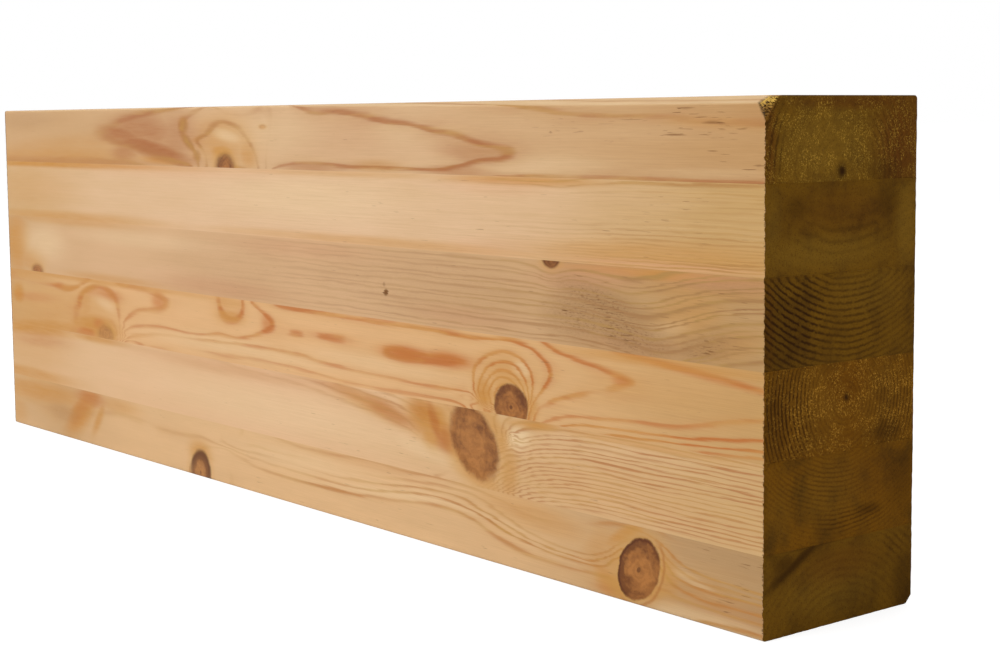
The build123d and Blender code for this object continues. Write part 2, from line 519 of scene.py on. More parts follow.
def board_4():
    """Orange board with flames: tongues that end in filled tips, closed rings around three knots."""
    lines = [
        (8, [(-440, 128), (-400, 127), (-350, 126), (-330, 123.8), (-315, 126), (-300, 131), (-288, 136)]),
        (8, [(-242, 136), (-232, 133.6), (-215, 133.2), (-195, 132.3), (-180, 130.3), (-168, 127.6),
             (-163, 125), (-168, 121), (-180, 118.5), (-200, 117), (-215, 113.5), (-226, 108.5),
             (-232, 104)]),
        (8, [(-86, 137), (-84.5, 131), (-82, 126.5), (-77, 122), (-70, 120.3), (-62, 120.8), (-56, 124),
             (-53, 129), (-52.5, 137)]),
        (9, [(-318, 90), (-314, 102), (-310, 112), (-305, 119), (-297, 124.5), (-286, 128), (-273, 129.5),
             (-261, 128.8), (-250, 125.5), (-243, 119), (-240, 110), (-238.5, 100), (-238.5, 92)]),
        (7, [(-232, 97), (-220, 101), (-205, 103.5), (-190, 105), (-170, 106), (-150, 105.5), (-130, 105),
             (-115, 105.5), (-100, 107), (-85, 108.3), (-70, 107.3), (-55, 108), (-40, 111), (-28, 114.5),
             (-19, 117.5), (-14.5, 120.7), (-17, 124.2), (-24, 127.8), (-32, 131), (-40, 134)]),
        (6, [(-236, 90), (-230, 92), (-215, 95), (-190, 98), (-165, 100), (-120, 101.5), (-60, 103.5),
             (-20, 104), (20, 103.5), (40, 101.5), (70, 100), (110, 99), (150, 98.3), (200, 98.5),
             (210, 96.5), (217, 91), (220, 87)]),
        (6, [(-5, 135.5), (20, 134), (60, 133.3), (120, 132.8), (170, 132.3), (205, 131.2), (222, 132.2),
             (240, 133.3), (258, 131.6), (267, 128.6), (274, 124), (278, 119), (276, 112.5), (269, 105),
             (263, 100), (260, 94), (259, 88)]),
        (5, [(-200, 87), (-160, 90), (-80, 93.2), (-40, 95), (-10, 95), (20, 93.5), (60, 91.5), (100, 91),
             (150, 91.3), (190, 91), (203, 88), (206, 86)]),
        (7, [(216, 90), (211.5, 97), (209, 104), (208.5, 110), (211, 115.5), (218, 120.5), (228, 124.5),
             (238, 126.4), (248, 125.3), (256, 121.5), (261.5, 115.5), (263, 110), (262, 104), (259, 98)]),
        (8, [(217, 93), (213.5, 100), (214.5, 107), (219, 113), (228, 118.3), (240, 120.4), (250, 117.5),
             (256.5, 111.5), (259, 105), (258.5, 99)]),
        (9, [(221, 93), (218.5, 100), (220.5, 106.5), (226, 112), (236, 115.3), (246, 113.8), (253, 109),
             (256.5, 103)]),
        (10, [(225.5, 94), (223.5, 100), (225.5, 105.5), (229, 109.3), (234, 111.3), (242, 111),
              (250, 107.3)]),
        (5, [(266, 137), (272, 134.5), (285, 130.5), (300, 127.5), (315, 125.5), (325, 123.3), (337, 121.3),
             (344, 119.6), (337, 117.5), (325, 114), (310, 110), (290, 105.5), (280, 102.5), (270, 98),
             (265, 93), (263, 87)]),
        (4, [(322, 137), (340, 134), (370, 131.7), (400, 129.6), (420, 127.6), (440, 125.5)]),
        (4, [(268, 87), (275, 90.5), (285, 93.5), (300, 95.8), (330, 98.5), (350, 99.7), (380, 101.2),
             (400, 104.2), (420, 108.2), (440, 111.5)]),
        (3, [(282, 87), (300, 91.2), (330, 93), (360, 94.2), (385, 95.4), (410, 98), (440, 101)]),
        (2, [(300, 87), (340, 89.7), (380, 91.3), (410, 93.3), (440, 95.8)]),
        (1, [(370, 87), (400, 89.2), (440, 92)]),
        (8.5, [(-440, 110), (-400, 110), (-350, 111), (-225, 125), (-205, 125)]),
        (8.3, [(-440, 93), (-390, 95), (-345, 98), (-188, 125)]),
        (9.45, [(-275, 118), (-275, 106), (-290, 96), (-262, 94)]),
        (8.4, [(-69, 131)]),
        (7.6, [(-145, 133), (-120, 133), (-104, 132)]),
        (7.55, [(-140, 120), (-110, 120), (-45, 122)]),
        (7.25, [(-28, 121)]),
        (6.85, [(-5, 121.5)]),
        (6.80, [(5, 119.5)]),
        (6.97, [(12, 117.4), (20, 117.2)]),
        (6.84, [(32, 118)]),
        (6.98, [(48, 118.5), (58, 118.8), (68, 118.9)]),
        (6.80, [(88, 118), (104, 116)]),
        (6.86, [(113, 115)]),
        (7.03, [(124, 115.2), (140, 115.3), (158, 115.4), (175, 116), (196, 116.4)]),
        (6.93, [(204, 116)]),
        (6.72, [(5, 123), (50, 122.5), (90, 121.5), (120, 121), (160, 121), (195, 121.6)]),
        (6.72, [(5, 114.5), (50, 114.8), (90, 113.2), (120, 109.5), (160, 109.4), (195, 109.6)]),
        (6.45, [(150, 104), (175, 104), (192, 104)]),
        (5.5, [(185, 95), (203, 93)]),
        (11.5, [(243, 96)]),
        (5.5, [(295, 117)]),
        (5.25, [(314, 118.6)]),
        (5.08, [(331, 119.5), (338, 119.6)]),
        (4.8, [(352, 119)]),
        (4.55, [(372, 117), (400, 117.5), (435, 118.5)]),
        (3.5, [(410, 134), (440, 132)]),
    ]
    spots = {
        "red": [(0.3, -395, 113, 40, 4, 2), (0.7, -296, 91.5, 18, 3.4), (0.55, -175, 125, 11, 7),
                (1.0, -272, 99, 10, 4.5), (0.5, -262, 124, 30, 5), (0.5, -20, 121, 8, 6),
                (0.85, 140, 115.2, 26, 5.2), (0.85, 186, 116.4, 22, 4.8), (0.3, 60, 118.6, 26, 3),
                (0.6, 337, 120, 8, 3), (0.5, 400, 129, 60, 2.2, -5.5)],
        "honey": [(1.0, -424, 114, 12, 9), (0.4, -350, 100, 130, 26, 4), (0.6, -300, 133.6, 240, 2.6),
                  (0.6, 370, 132.4, 90, 3.2), (0.5, -410, 133, 60, 6), (1.0, -282, 98, 46, 10),
                  (0.5, -296, 110, 14, 10, 30), (0.7, -290, 126.5, 20, 4, 14), (0.5, -298, 117, 16, 9),
                  (0.55, -254, 126, 13, 4, -28), (0.85, -385, 88, 90, 8, 4), (0.5, -70, 132, 20, 5),
                  (0.6, -70, 122, 20, 5), (0.9, 218, 100, 9, 10), (0.5, 240, 114, 26, 12),
                  (0.15, 385, 118, 70, 14), (0.6, 262, 97, 6, 8), (0.4, -330, 124.5, 30, 4),
                  (0.4, -298, 122, 18, 6, 35)],
        "pale": [(0.4, -262, 117, 20, 5, -12), (0.35, -60, 100, 150, 7), (0.3, 100, 106, 90, 6),
                 (0.5, 254, 118, 8, 5)],
        "plain": [(0.75, -410, 127, 62, 4), (0.5, -60, 97, 170, 9), (0.8, -140, 98, 60, 6),
                  (0.5, 110, 95, 90, 9), (0.75, 318, 112, 10, 4, 12), (0.7, 270, 97, 9, 8),
                  (0.8, -150, 134, 60, 3), (0.6, 214, 92, 12, 6), (0.7, -242, 100, 12, 10),
                  (1.0, -278, 98, 46, 12), (1.0, 202, 95, 8, 3.5), (1.0, -122, 91, 60, 3.6)],
        "strong": [(1.4, -21, 121, 13, 9), (1.6, -328, 125, 32, 6), (1.0, -172, 125, 22, 9),
                   (1.6, -295, 123, 24, 9, 30), (1.6, -70, 123, 24, 9), (1.3, 150, 115, 60, 8),
                   (1.0, 395, 129.5, 90, 5, -5.5)],
    }
    knots = [
        ("show", -263, 92, 14, 8, 0, 0.6, 0.0, 0.8, 1.0),
        ("show", 243.5, 94.5, 15.5, 13.5, 0, 1.0, 0.35, 0.4, 0.05),
        ("back", -300, 110, 18, 14, 10, 0.9, 0.8, 0.7, 0.1),
        ("back", 60, 122, 8, 6, 0, 0.6, 0.6, 0.5, 0.1),
    ]
    drift = [(-440, 0.8), (-330, 0.35), (-220, 0.1), (0, 0.1), (160, 0.2), (300, 0.45), (440, 0.95)]
    bold = [(-440, 0.8), (-260, 0.85), (-220, 0.6), (-160, 0.75), (0, 0.75), (100, 0.7), (200, 0.9),
            (300, 0.85), (440, 0.8)]
    end_spots = {
        "red": [(0.8, 4, 122, 24, 16), (0.5, 0, 112, 62, 26), (0.4, 44, 112, 16, 22)],
        "dark": [(1.0, 3.5, 116.5, 1.9, 1.9), (0.5, 36, 95, 12, 6), (0.35, -50, 110, 10, 24)],
        "bold": [(0.9, -42, 112, 24, 30), (0.6, 44, 108, 24, 24)],
        "pale": [(0.6, -18, 114, 26, 20), (0.5, 34, 112, 28, 20)],
    }
    return Board("orange_pine", lines, spots, end_spots, knots, drift, bold,
                 pith=(3.5, 116.5), spacing=2.7, end_bold=0.22)


def board_5():
    """Honey board: plain in its far part, then a big leaning knot, and fine lines fanned to the sawn end."""
    lines = [
        (22, [(300, 90), (270, 88.4), (252, 87), (244, 84), (238, 79)]),
        (21, [(440, 87.9), (360, 87.6), (300, 86.8), (270, 85.6), (255, 83.6), (246, 80), (240, 74)]),
    ]
    for ring in range(18):
        at_end = 85.4 - 2.52 * ring
        at_fan = at_end + 0.35 * math.sin(ring * 1.7)
        near_knot = at_fan - 12 + 6 * smooth_step(8, 0, float(ring))
        lines.append((20 - ring, [
            (440, at_end), (400, at_end + 0.5 * math.sin(ring * 2.9)), (360, at_fan), (325, at_fan + 0.3),
            (300, at_fan - 0.6), (280, at_fan - 2.4), (264, at_fan - 5), (252, at_fan - 8.6),
            (244, near_knot)]))
    lines += [
        (22, [(20, 90.5), (60, 88.5), (90, 86.8), (115, 84.6), (135, 81.5), (150, 77.5), (160, 73)]),
        (21, [(-60, 91), (30, 87), (70, 84), (100, 81), (125, 77.5), (145, 72.5), (158, 67)]),
        (20, [(-120, 90), (0, 84.5), (50, 80), (90, 76.5), (120, 73), (145, 68.5), (160, 63)]),
        (19.7, [(-440, 86), (-300, 84), (-150, 78), (-60, 76), (60, 72), (120, 66), (150, 60)]),
        (19.4, [(-440, 62), (-300, 62), (-150, 62), (0, 62), (100, 58), (150, 52)]),
        (19.2, [(-440, 44), (-300, 44), (-150, 44), (0, 44), (100, 44), (160, 44)]),
        (16.5, [(205, 45)]),
    ]
    spots = {
        "red": [(0.3, -380, 77, 60, 6, 2), (0.55, 122, 77, 30, 6, -12), (0.3, 60, 86, 60, 4, -5),
                (0.3, 156, 82, 12, 7), (0.75, 170, 77, 13, 5, -58), (0.85, 175, 68.5, 9, 3.2, -35),
                (0.4, 200, 87, 16, 4), (0.25, -60, 84, 140, 5), (0.95, 181, 67, 9, 9)],
        "honey": [(0.9, -400, 86, 90, 7, 2), (0.3, -400, 68, 70, 24), (0.7, -410, 47, 90, 6),
                  (0.65, 105, 79, 50, 6, -10), (1.0, 163, 77, 24, 14, -12), (0.8, 195, 57, 26, 6, -28),
                  (1.0, 172, 76, 12, 14), (0.5, 228, 82, 14, 6, -35), (0.6, 208, 50, 26, 5, -12),
                  (0.6, 242, 56, 8, 16, -6), (0.6, 236, 74, 7, 10, -6), (0.18, 320, 58, 90, 14),
                  (0.8, -280, 87.4, 50, 3.4), (0.5, 345, 87.4, 80, 2.4), (0.9, 264, 86.6, 24, 3, 4),
                  (1.0, 166, 68, 14, 10, -30)],
        "pale": [(0.9, 250, 77, 10, 7, 20), (0.35, 0, 62, 170, 14), (0.5, 160, 58, 40, 6, -6)],
        "plain": [(1.0, 176, 70, 17, 22), (1.0, 196, 48, 34, 9, -4), (0.9, 60, 56, 140, 14),
                  (1.0, 160, 73, 11, 16)],
        "strong": [(0.95, 256, 82, 20, 6, 20), (0.7, 120, 83, 40, 6, -12)],
    }
    knots = [
        ("show", 208.5, 69.5, 26.5, 19.5, -38, 0.95, 0.0, 0.4, 0.2),
        ("back", -20, 66, 20, 15, 12, 0.85, 0.7, 0.7, 0.1),
    ]
    drift = [(-440, 0.5), (-340, 0.25), (-200, 0.12), (-30, 0.0), (140, 0.2), (240, 0.6), (330, 0.45),
             (440, 0.75)]
    bold = [(-440, 0.1), (0, 0.25), (100, 0.5), (200, 0.55), (250, 0.62), (330, 0.75), (440, 0.85)]
    end_spots = {
        "red": [(0.2, 22, 74, 34, 14)],
        "dark": [(0.5, 22, 56, 9, 3), (0.3, 50, 66, 14, 18)],
        "bold": [(0.55, 8, 53, 32, 8), (0.4, -20, 74, 40, 16)],
        "pale": [(0.4, -8, 70, 26, 16), (0.25, -46, 64, 10, 14)],
    }
    return Board("honey_pine", lines, spots, end_spots, knots, drift, bold,
                 pith=(0, 150), spacing=2.3, end_bold=0.15)


def board_6():
    """Honey board at the bottom: long soft waves between a half knot and an oval knot near the sawn end."""
    lines = [
        (1, [(-80, 25.5), (-60, 22), (-40, 19.3), (-20, 18), (20, 17.3), (60, 17.4), (85, 18), (100, 19.3),
             (120, 20.6), (140, 23), (160, 25), (176, 25.6), (190, 25), (200, 24), (210, 22), (220, 18.6),
             (230, 15.6), (240, 13.8), (255, 11.8), (270, 10.8), (290, 10.4), (310, 10.6), (322, 10.5),
             (330, 8), (338, 3)]),
        (2, [(-110, 30), (-90, 28), (-60, 25.6), (-40, 24.3), (0, 23), (40, 22.4), (80, 23), (100, 24.4),
             (130, 27.4), (150, 29.5), (170, 30.6), (188, 30.4), (208, 28), (224, 24.6), (236, 21.6),
             (248, 19), (262, 17), (280, 15.4), (300, 14.8), (314, 15), (324, 17), (330, 21)]),
        (3, [(-40, 28.5), (0, 27.5), (60, 27.5), (100, 29), (130, 31.8), (155, 34.2), (176, 35), (194, 34.2),
             (210, 31.6), (224, 28.4), (236, 25.6), (250, 22), (262, 19.8), (280, 18), (300, 17.4),
             (314, 18), (326, 22), (334, 27.5)]),
        (4, [(-60, 34), (0, 33), (50, 32.6), (80, 33.2), (110, 34.8), (150, 37.4), (175, 38.6), (192, 38.5),
             (210, 37), (224, 34), (236, 30.8), (248, 27), (262, 23.6), (280, 21), (300, 20), (314, 21),
             (326, 25.6), (336, 31.6), (346, 36), (356, 38.2)]),
        (0.55, [(-60, 8), (0, 8), (60, 8), (120, 9), (180, 12), (230, 6), (290, 3)]),
        (4.6, [(100, 40), (170, 41.5), (220, 38), (250, 32), (265, 29), (285, 27), (305, 27), (320, 31)]),
        (2, [(-230, 31), (-190, 28.5), (-165, 27.6), (-140, 28.4), (-120, 29.8)]),
        (2.55, [(-220, 40), (-150, 40), (-90, 40)]),
        (1.45, [(-230, 12), (-180, 12), (-150, 12), (-90, 10)]),
        (2.5, [(-440, 34), (-380, 34), (-340, 34)]),
        (1.5, [(-440, 8), (-380, 8), (-300, 8)]),
        (5, [(360, 39.4), (368, 36.5), (376, 31.4), (386, 27.4), (400, 25.4), (420, 24.4), (440, 23.8)]),
        (4, [(366, 34), (372, 29), (380, 25), (392, 22.4), (406, 21.4), (440, 21.2)]),
        (3, [(370, 27), (376, 22), (386, 19), (400, 17.6), (420, 18), (440, 18.4)]),
        (2, [(370, 21), (374, 17), (384, 14.6), (400, 13.2), (420, 13.2), (440, 13.4)]),
        (1, [(362, 8), (370, 12.4), (380, 10.6), (400, 9.4), (440, 8.8)]),
        (5.5, [(390, 36), (420, 36), (440, 36)]),
    ]
    spots = {
        "red": [(0.75, -294, 38, 24, 7), (0.5, -310, 28, 26, 8, 36), (0.2, 425, 8, 40, 9),
                (0.25, 100, 41, 60, 4), (0.5, 330, 4, 16, 3)],
        "honey": [(0.75, -390, 33, 90, 10, 1), (0.4, -432, 12, 18, 12), (0.95, -310, 25, 34, 13, 34),
                  (0.75, -280, 22, 17, 5, 50), (0.45, -244, 37, 34, 6), (0.6, -118, 19, 16, 8),
                  (0.45, 258, 35, 50, 9, -5), (0.4, 322, 22, 18, 16, 40), (0.3, -340, 22, 50, 12),
                  (0.15, 222, 27, 30, 7, -14), (0.8, 326, 8, 14, 8, -30), (0.6, 373, 20, 9, 12),
                  (0.75, 340, 38, 22, 4, 30), (0.25, 395, 18, 30, 10)],
        "grey": [(0.3, -345, 20, 26, 7)],
        "pale": [(0.35, 200, 28, 60, 2, -4), (0.3, 392, 21, 16, 3, -14), (0.45, 120, 25, 70, 3, 4),
                 (0.3, 10, 30, 80, 7), (0.5, 405, 2, 60, 5)],
        "plain": [(0.9, 40, 31, 90, 6, 4), (1.0, -85, 38, 25, 8), (1.0, -60, 35, 14, 5),
                  (1.0, -85, 11, 20, 9), (1.0, -195, 24, 14, 9), (1.0, 280, 37, 60, 6, -2),
                  (1.0, 400, 41, 50, 4)],
        "strong": [(1.0, 60, 17.5, 100, 2.5), (1.0, 190, 24, 40, 2.5, -3), (0.95, 240, 17, 50, 9, -20),
                   (1.0, 410, 17, 40, 8)],
        "flecked": [(0.6, 400, 38, 44, 6), (0.6, 425, 16, 20, 10)],
    }
    knots = [
        ("show", -117.5, 3, 13.5, 15.5, -18, 0.8, 1.0, 0.5, 0.6),
        ("show", 350, 19.5, 19, 14.5, 52, 0.95, 1.0, 0.7, 0.0),
        ("back", 130, 20, 16, 12, 30, 0.9, 0.8, 0.7, 0.1),
        ("under", 40, -14, 16, 12, 10, 0.85, 0.8, 0.7, 0.1),
    ]
    drift = [(-440, 0.3), (-340, 0.45), (-240, 0.2), (-60, 0.05), (120, 0.05), (240, 0.2), (320, 0.55),
             (440, 1.0)]
    bold = [(-440, 0.1), (-200, 0.3), (0, 0.35), (100, 0.5), (200, 0.65), (300, 0.75), (440, 0.9)]
    end_spots = {
        "red": [(0.4, 0, 30, 30, 10)],
        "dark": [(0.8, -32, 37, 28, 3, 28), (0.6, -42, 37, 9, 5), (0.5, 52, 10, 10, 20)],
        "bold": [(0.4, 44, 36, 12, 12, -50), (0.2, 0, 20, 60, 20)],
        "pale": [(0.5, -10, 18, 34, 14)],
    }
    return Board("honey_pine", lines, spots, end_spots, knots, drift, bold,
                 pith=(0, -30), spacing=4.0, end_bold=0.1)


# Fields over a board's skin

def knot_field(places, knots):
    """Place on the nearest knot, for points as (x, y, z).

    A knot is (face, x, across, half length, half width, tilt, core, rim, halo, blur): across is z on a side
    and y on the top or underside. It is a cone that thins with depth below its face, so an arris shows it
    cut along. Returns three arrays: u and v, whose length is 1 at the bark; the knot's core, rim and halo
    strengths with how blurred its edge is; and that length, the radius.
    """
    x, y, z = places.T
    depths = {"show": y - SHOW_SIDE, "back": BACK_SIDE - y, "top": TOP_EDGE - z, "under": z - UNDERSIDE}
    best = np.full(len(x), FAR_FROM_KNOTS)
    place = np.full((len(x), 2), FAR_FROM_KNOTS)
    tone = np.zeros((len(x), 4))
    for face, knot_x, knot_across, half_length, half_width, tilt, core, rim, halo, blur in knots:
        across = z if face in ("show", "back") else y
        turn = math.radians(tilt)
        thin = np.clip(1 - depths[face] / KNOT_DEPTH, KNOT_THINNEST, 1)
        u = ((x - knot_x) * math.cos(turn) + (across - knot_across) * math.sin(turn)) / half_length / thin
        v = ((across - knot_across) * math.cos(turn) - (x - knot_x) * math.sin(turn)) / half_width / thin
        radius = np.hypot(u, v)
        nearer = (radius < best) & (depths[face] < KNOT_DEPTH)
        best = np.where(nearer, radius, best)
        place[nearer] = np.stack([u, v], 1)[nearer]
        tone[nearer] = core, rim, halo, blur
    return place, tone, best


def pith_rings(places, board):
    """Ring number off the show side: distance from a wandering pith over the spacing, swollen at knots."""
    x, y, z = places.T
    seed = int(board.pith[1] + PITH_SEED)
    from_end = SAWN_END - x
    settle = smooth_step(0, PITH_SETTLES, from_end)
    wander_y = PITH_WANDER_ACROSS * settle * waves(from_end, WAVES_ACROSS, seed)
    wander_z = PITH_WANDER_UP * settle * waves(from_end, WAVES_UP, seed + 1)
    apart = np.hypot(y - board.pith[0] - wander_y, (z - board.pith[1] - wander_z) * RING_FLATTENING)
    others = [knot for knot in board.knots if knot[0] != "show"]
    if not others:
        return apart / board.spacing
    radius = knot_field(places, others)[2]
    return apart / board.spacing - KNOT_SWELL * np.exp(-(radius / SWELL_REACH) ** 2)


def ring_field(places, board, on_end):
    """Ring number and rings per millimetre at each point: the show side's plate, and pith rings elsewhere.

    Off the show side the plate's difference from the pith rings fades over PLATE_DEPTH, so that lines carry
    on round an arris instead of ending there.
    """
    low, high = board.low + PLATE_INSET, board.high - PLATE_INSET
    plate = ring_plate(board.lines)
    rings = pith_rings(places, board)
    depth = places[:, 1] - SHOW_SIDE
    near = (depth < PLATE_DEPTH) & ~on_end
    on_side = places[near].copy()
    on_side[:, 1] = SHOW_SIDE
    on_side[:, 2] = np.clip(on_side[:, 2], low, high)
    drawn, steepness = plate.at(on_side[:, [0, 2]])
    difference = drawn - pith_rings(on_side, board)
    level_out = np.median(difference)
    rings += level_out * ~on_end
    fade = 1 - smooth_step(0, PLATE_DEPTH, depth[near])
    rings[near] += (difference - level_out) * fade
    pace = np.full(len(places), 1 / board.spacing)
    pace[near] += (steepness - 1 / board.spacing) * fade
    return rings, pace


def board_fields(places, board, on_end):
    """All the attributes of a board's skin, each an array with one row for each point."""
    x, y, z = places.T
    rings, pace = ring_field(places, board, on_end)
    shown = 1 - smooth_step(*SHOWN_DEPTH, y - SHOW_SIDE)
    place, tone, radius = knot_field(places, board.knots)
    side = {kind: patches(x, z, spots) for kind, spots in board.spots.items()}
    end = {kind: patches(y, z, spots) for kind, spots in board.end_spots.items()}
    none = np.zeros(len(x))
    drift = np.interp(x, *zip(*board.drift)) + DRIFT_WAVER * waves(x, DRIFT_WAVES, int(board.high))
    across, down = (y - SHOW_SIDE) / TOP_CHAMFER_ACROSS, (TOP_EDGE - z) / TOP_CHAMFER_DOWN
    chamfer = 1 - smooth_step(1.0, 1.1, (across + down) / chamfer_size(x))
    on_chamfer = {"honey": CHAMFER_HONEY * chamfer, "pale": CHAMFER_PALE * chamfer}
    cast = np.empty((len(x), 4))
    for channel, (side_kind, end_kind) in enumerate(zip(SIDE_STAINS, END_STAINS)):
        stain = np.maximum(side.get(side_kind, none) * shown, on_chamfer.get(side_kind, 0))
        cast[:, channel] = np.where(on_end, end.get(end_kind, none), stain)
    shown_bold = np.interp(x, *zip(*board.bold)) * (1 - side.get("plain", none))
    shown_bold = np.maximum(shown_bold, side.get("strong", none))
    bold = shown_bold * shown + HIDDEN_BOLD * (1 - shown)
    return {
        "rings": rings, "pace": pace, "cast": cast, "sawn": on_end.astype(float),
        "bold": np.where(on_end, np.maximum(board.end_bold, cast[:, 2]), bold),
        "flecks": side.get("flecked", none) * shown,
        "tan": np.where(on_end, 0, np.clip(drift, 0, 1)),
        "knot_place": np.column_stack([place, tone[:, 3]]),
        "knot_tone": tone[:, :3], "knot_radius": radius,
    }


# Skin of a board

def section_run(start, end, step):
    """Points from start towards end, no further apart than step, without the end."""
    count = max(1, math.ceil(math.dist(start, end) / step))
    t = np.arange(count)[:, None] / count
    return np.array(start) * (1 - t) + np.array(end) * t


def section_arc(centre, radius, start_angle, end_angle, count=4):
    """Points round an arc, angles in degrees, without its end."""
    angles = np.radians(start_angle + (end_angle - start_angle) * np.arange(count) / count)
    return np.array(centre) + radius * np.column_stack([np.cos(angles), np.sin(angles)])


def board_section(low, high):
    """Closed section of a board as (y, z), anticlockwise from the sawn end, with the solids' arrises."""
    at_top, at_bottom = high > TOP_EDGE - 1, low < UNDERSIDE + 1
    hidden_step = (BACK_SIDE - SHOW_SIDE) / HIDDEN_RUNS
    top_step = EDGE_STEP if at_top else hidden_step
    bottom_step = EDGE_STEP if at_bottom else hidden_step
    near_low = (SHOW_SIDE + BOTTOM_ROUNDING, low) if at_bottom else (SHOW_SIDE, low)
    near_up = (SHOW_SIDE, low + BOTTOM_ROUNDING) if at_bottom else (SHOW_SIDE, low)
    far_low = (BACK_SIDE - BOTTOM_CHAMFER, low) if at_bottom else (BACK_SIDE, low)
    far_up = (BACK_SIDE, low + BOTTOM_CHAMFER) if at_bottom else (BACK_SIDE, low)
    far_high = (BACK_SIDE, high - TOP_ROUNDING) if at_top else (BACK_SIDE, high)
    far_over = (BACK_SIDE - TOP_ROUNDING, high) if at_top else (BACK_SIDE, high)
    near_over = (SHOW_SIDE + TOP_CHAMFER_ACROSS, high) if at_top else (SHOW_SIDE, high)
    near_high = (SHOW_SIDE, high - TOP_CHAMFER_DOWN) if at_top else (SHOW_SIDE, high)
    parts = [section_run(near_low, far_low, bottom_step)]
    if at_bottom:
        parts.append(section_run(far_low, far_up, SHOW_STEP))
    parts.append(section_run(far_up, far_high, BACK_STEP))
    if at_top:
        far_centre = (BACK_SIDE - TOP_ROUNDING, high - TOP_ROUNDING)
        parts.append(section_arc(far_centre, TOP_ROUNDING, 0, 90))
    parts.append(section_run(far_over, near_over, top_step))
    if at_top:
        parts.append(section_run(near_over, near_high, SHOW_STEP))
    parts.append(section_run(near_high, near_up, SHOW_STEP))
    if at_bottom:
        near_centre = (SHOW_SIDE + BOTTOM_ROUNDING, low + BOTTOM_ROUNDING)
        parts.append(section_arc(near_centre, BOTTOM_ROUNDING, 180, 270))
    return np.vstack(parts)


def board_stations():
    """Stations along the beam: steps shrink evenly from the far end and are finest behind the sawn arris."""
    arris = SAWN_END - ARRIS_LENGTH
    places = np.linspace(FAR_END, arris, STATION_TRIALS)
    share = (places - FAR_END) / (arris - FAR_END)
    steps = STATION_STEP_FAR + (STATION_STEP_NEAR - STATION_STEP_FAR) * share
    counted = np.concatenate([[0], np.cumsum((places[1] - places[0]) / steps[1:])])
    body = np.interp(np.linspace(0, counted[-1], int(counted[-1]) + 1), counted, places)
    fine = np.linspace(arris, SAWN_END, int(ARRIS_LENGTH / STATION_STEP_ARRIS) + 1)[1:]
    return np.concatenate([body, fine])


def loop_place(loop):
    """Place of each point of a loop round the section, 0 to 1: its shadow on the sides of a square."""
    middle = (loop.max(0) + loop.min(0)) / 2
    half = (loop.max(0) - loop.min(0)) / 2
    u, v = ((loop - middle) / half).T
    longest = np.maximum(np.abs(u), np.abs(v))
    u, v = u / longest, v / longest
    on_side = [v <= -SQUARE_EDGE, u >= SQUARE_EDGE, v >= SQUARE_EDGE]
    place = np.select(on_side, [u + 1, v + 3, 5 - u], 7 - v)
    return np.mod(place / 8, 1)


def zip_loops(outer_ids, outer_place, inner_ids, inner_place):
    """Triangles between two loops: each edge of a loop finds a point of the other by its middle."""
    def rolled(ids, place):
        """The loop begun at its lowest place."""
        first = int(np.argmin(place))
        return np.roll(ids, -first), np.roll(place, -first)

    def middles(place):
        """Place halfway along each edge."""
        after = np.append(place[1:], place[0] + 1)
        return (place + after) / 2

    outer_ids, outer_place = rolled(outer_ids, outer_place)
    inner_ids, inner_place = rolled(inner_ids, inner_place)
    outer_middle, inner_middle = middles(outer_place), middles(inner_place)
    inner_tip = inner_ids[np.searchsorted(inner_middle, outer_middle) % len(inner_ids)]
    outer_tip = outer_ids[np.searchsorted(outer_middle, inner_middle) % len(outer_ids)]
    out_faces = np.column_stack([outer_ids, np.roll(outer_ids, -1), inner_tip])
    in_faces = np.column_stack([np.roll(inner_ids, -1), inner_ids, outer_tip])
    return np.vstack([out_faces, in_faces])


def section_span(section, y):
    """Lowest and highest z of the section at each y."""
    closed = np.vstack([section, section[:1]])
    middle_z = (section[:, 1].max() + section[:, 1].min()) / 2
    spans = []
    for side in (-1, 1):
        chosen = closed[(closed[:, 1] - middle_z) * side > 0]
        order = np.argsort(chosen[:, 0], kind="stable")
        ys, zs = chosen[order].T
        edge = zs.min() if side < 0 else zs.max()
        keep = np.abs(zs - edge) < OUTLINE_DIP
        spans.append(np.interp(y, ys[keep], zs[keep]))
    return spans


def end_grid(section, step):
    """Grid of points just inside the section: rows run from the lower outline to the upper one at each y."""
    y_low, y_high = section[:, 0].min() + END_INSET, section[:, 0].max() - END_INSET
    ys = np.linspace(y_low, y_high, int((y_high - y_low) / step) + 1)
    lower, upper = section_span(section, ys)
    height = section[:, 1].max() - section[:, 1].min() - 2 * END_INSET
    shares = np.linspace(0, 1, int(height / step) + 1)
    zs = (lower + END_INSET)[:, None] + shares[None] * (upper - lower - 2 * END_INSET)[:, None]
    return np.broadcast_to(ys[:, None], zs.shape), zs


def grid_border(shape, first_id):
    """Point numbers round a grid of (y, z) rows, anticlockwise seen from the sawn end."""
    ids = first_id + np.arange(shape[0] * shape[1]).reshape(shape)
    return np.concatenate([ids[:-1, 0], ids[-1, :-1], ids[:0:-1, -1], ids[0, :0:-1]])


def grid_faces(shape, first_id):
    """Squares of a grid of (y, z) rows, facing the sawn end."""
    ids = first_id + np.arange(shape[0] * shape[1]).reshape(shape)
    return np.stack([ids[:-1, :-1], ids[1:, :-1], ids[1:, 1:], ids[:-1, 1:]], -1).reshape(-1, 4)


def chamfer_size(x):
    """Share of the full chamfer that is there at x."""
    return FAR_CHAMFER + (NEAR_CHAMFER - FAR_CHAMFER) * smooth_step(CHAMFER_FADE_FROM, CHAMFER_FADE_TO, x)


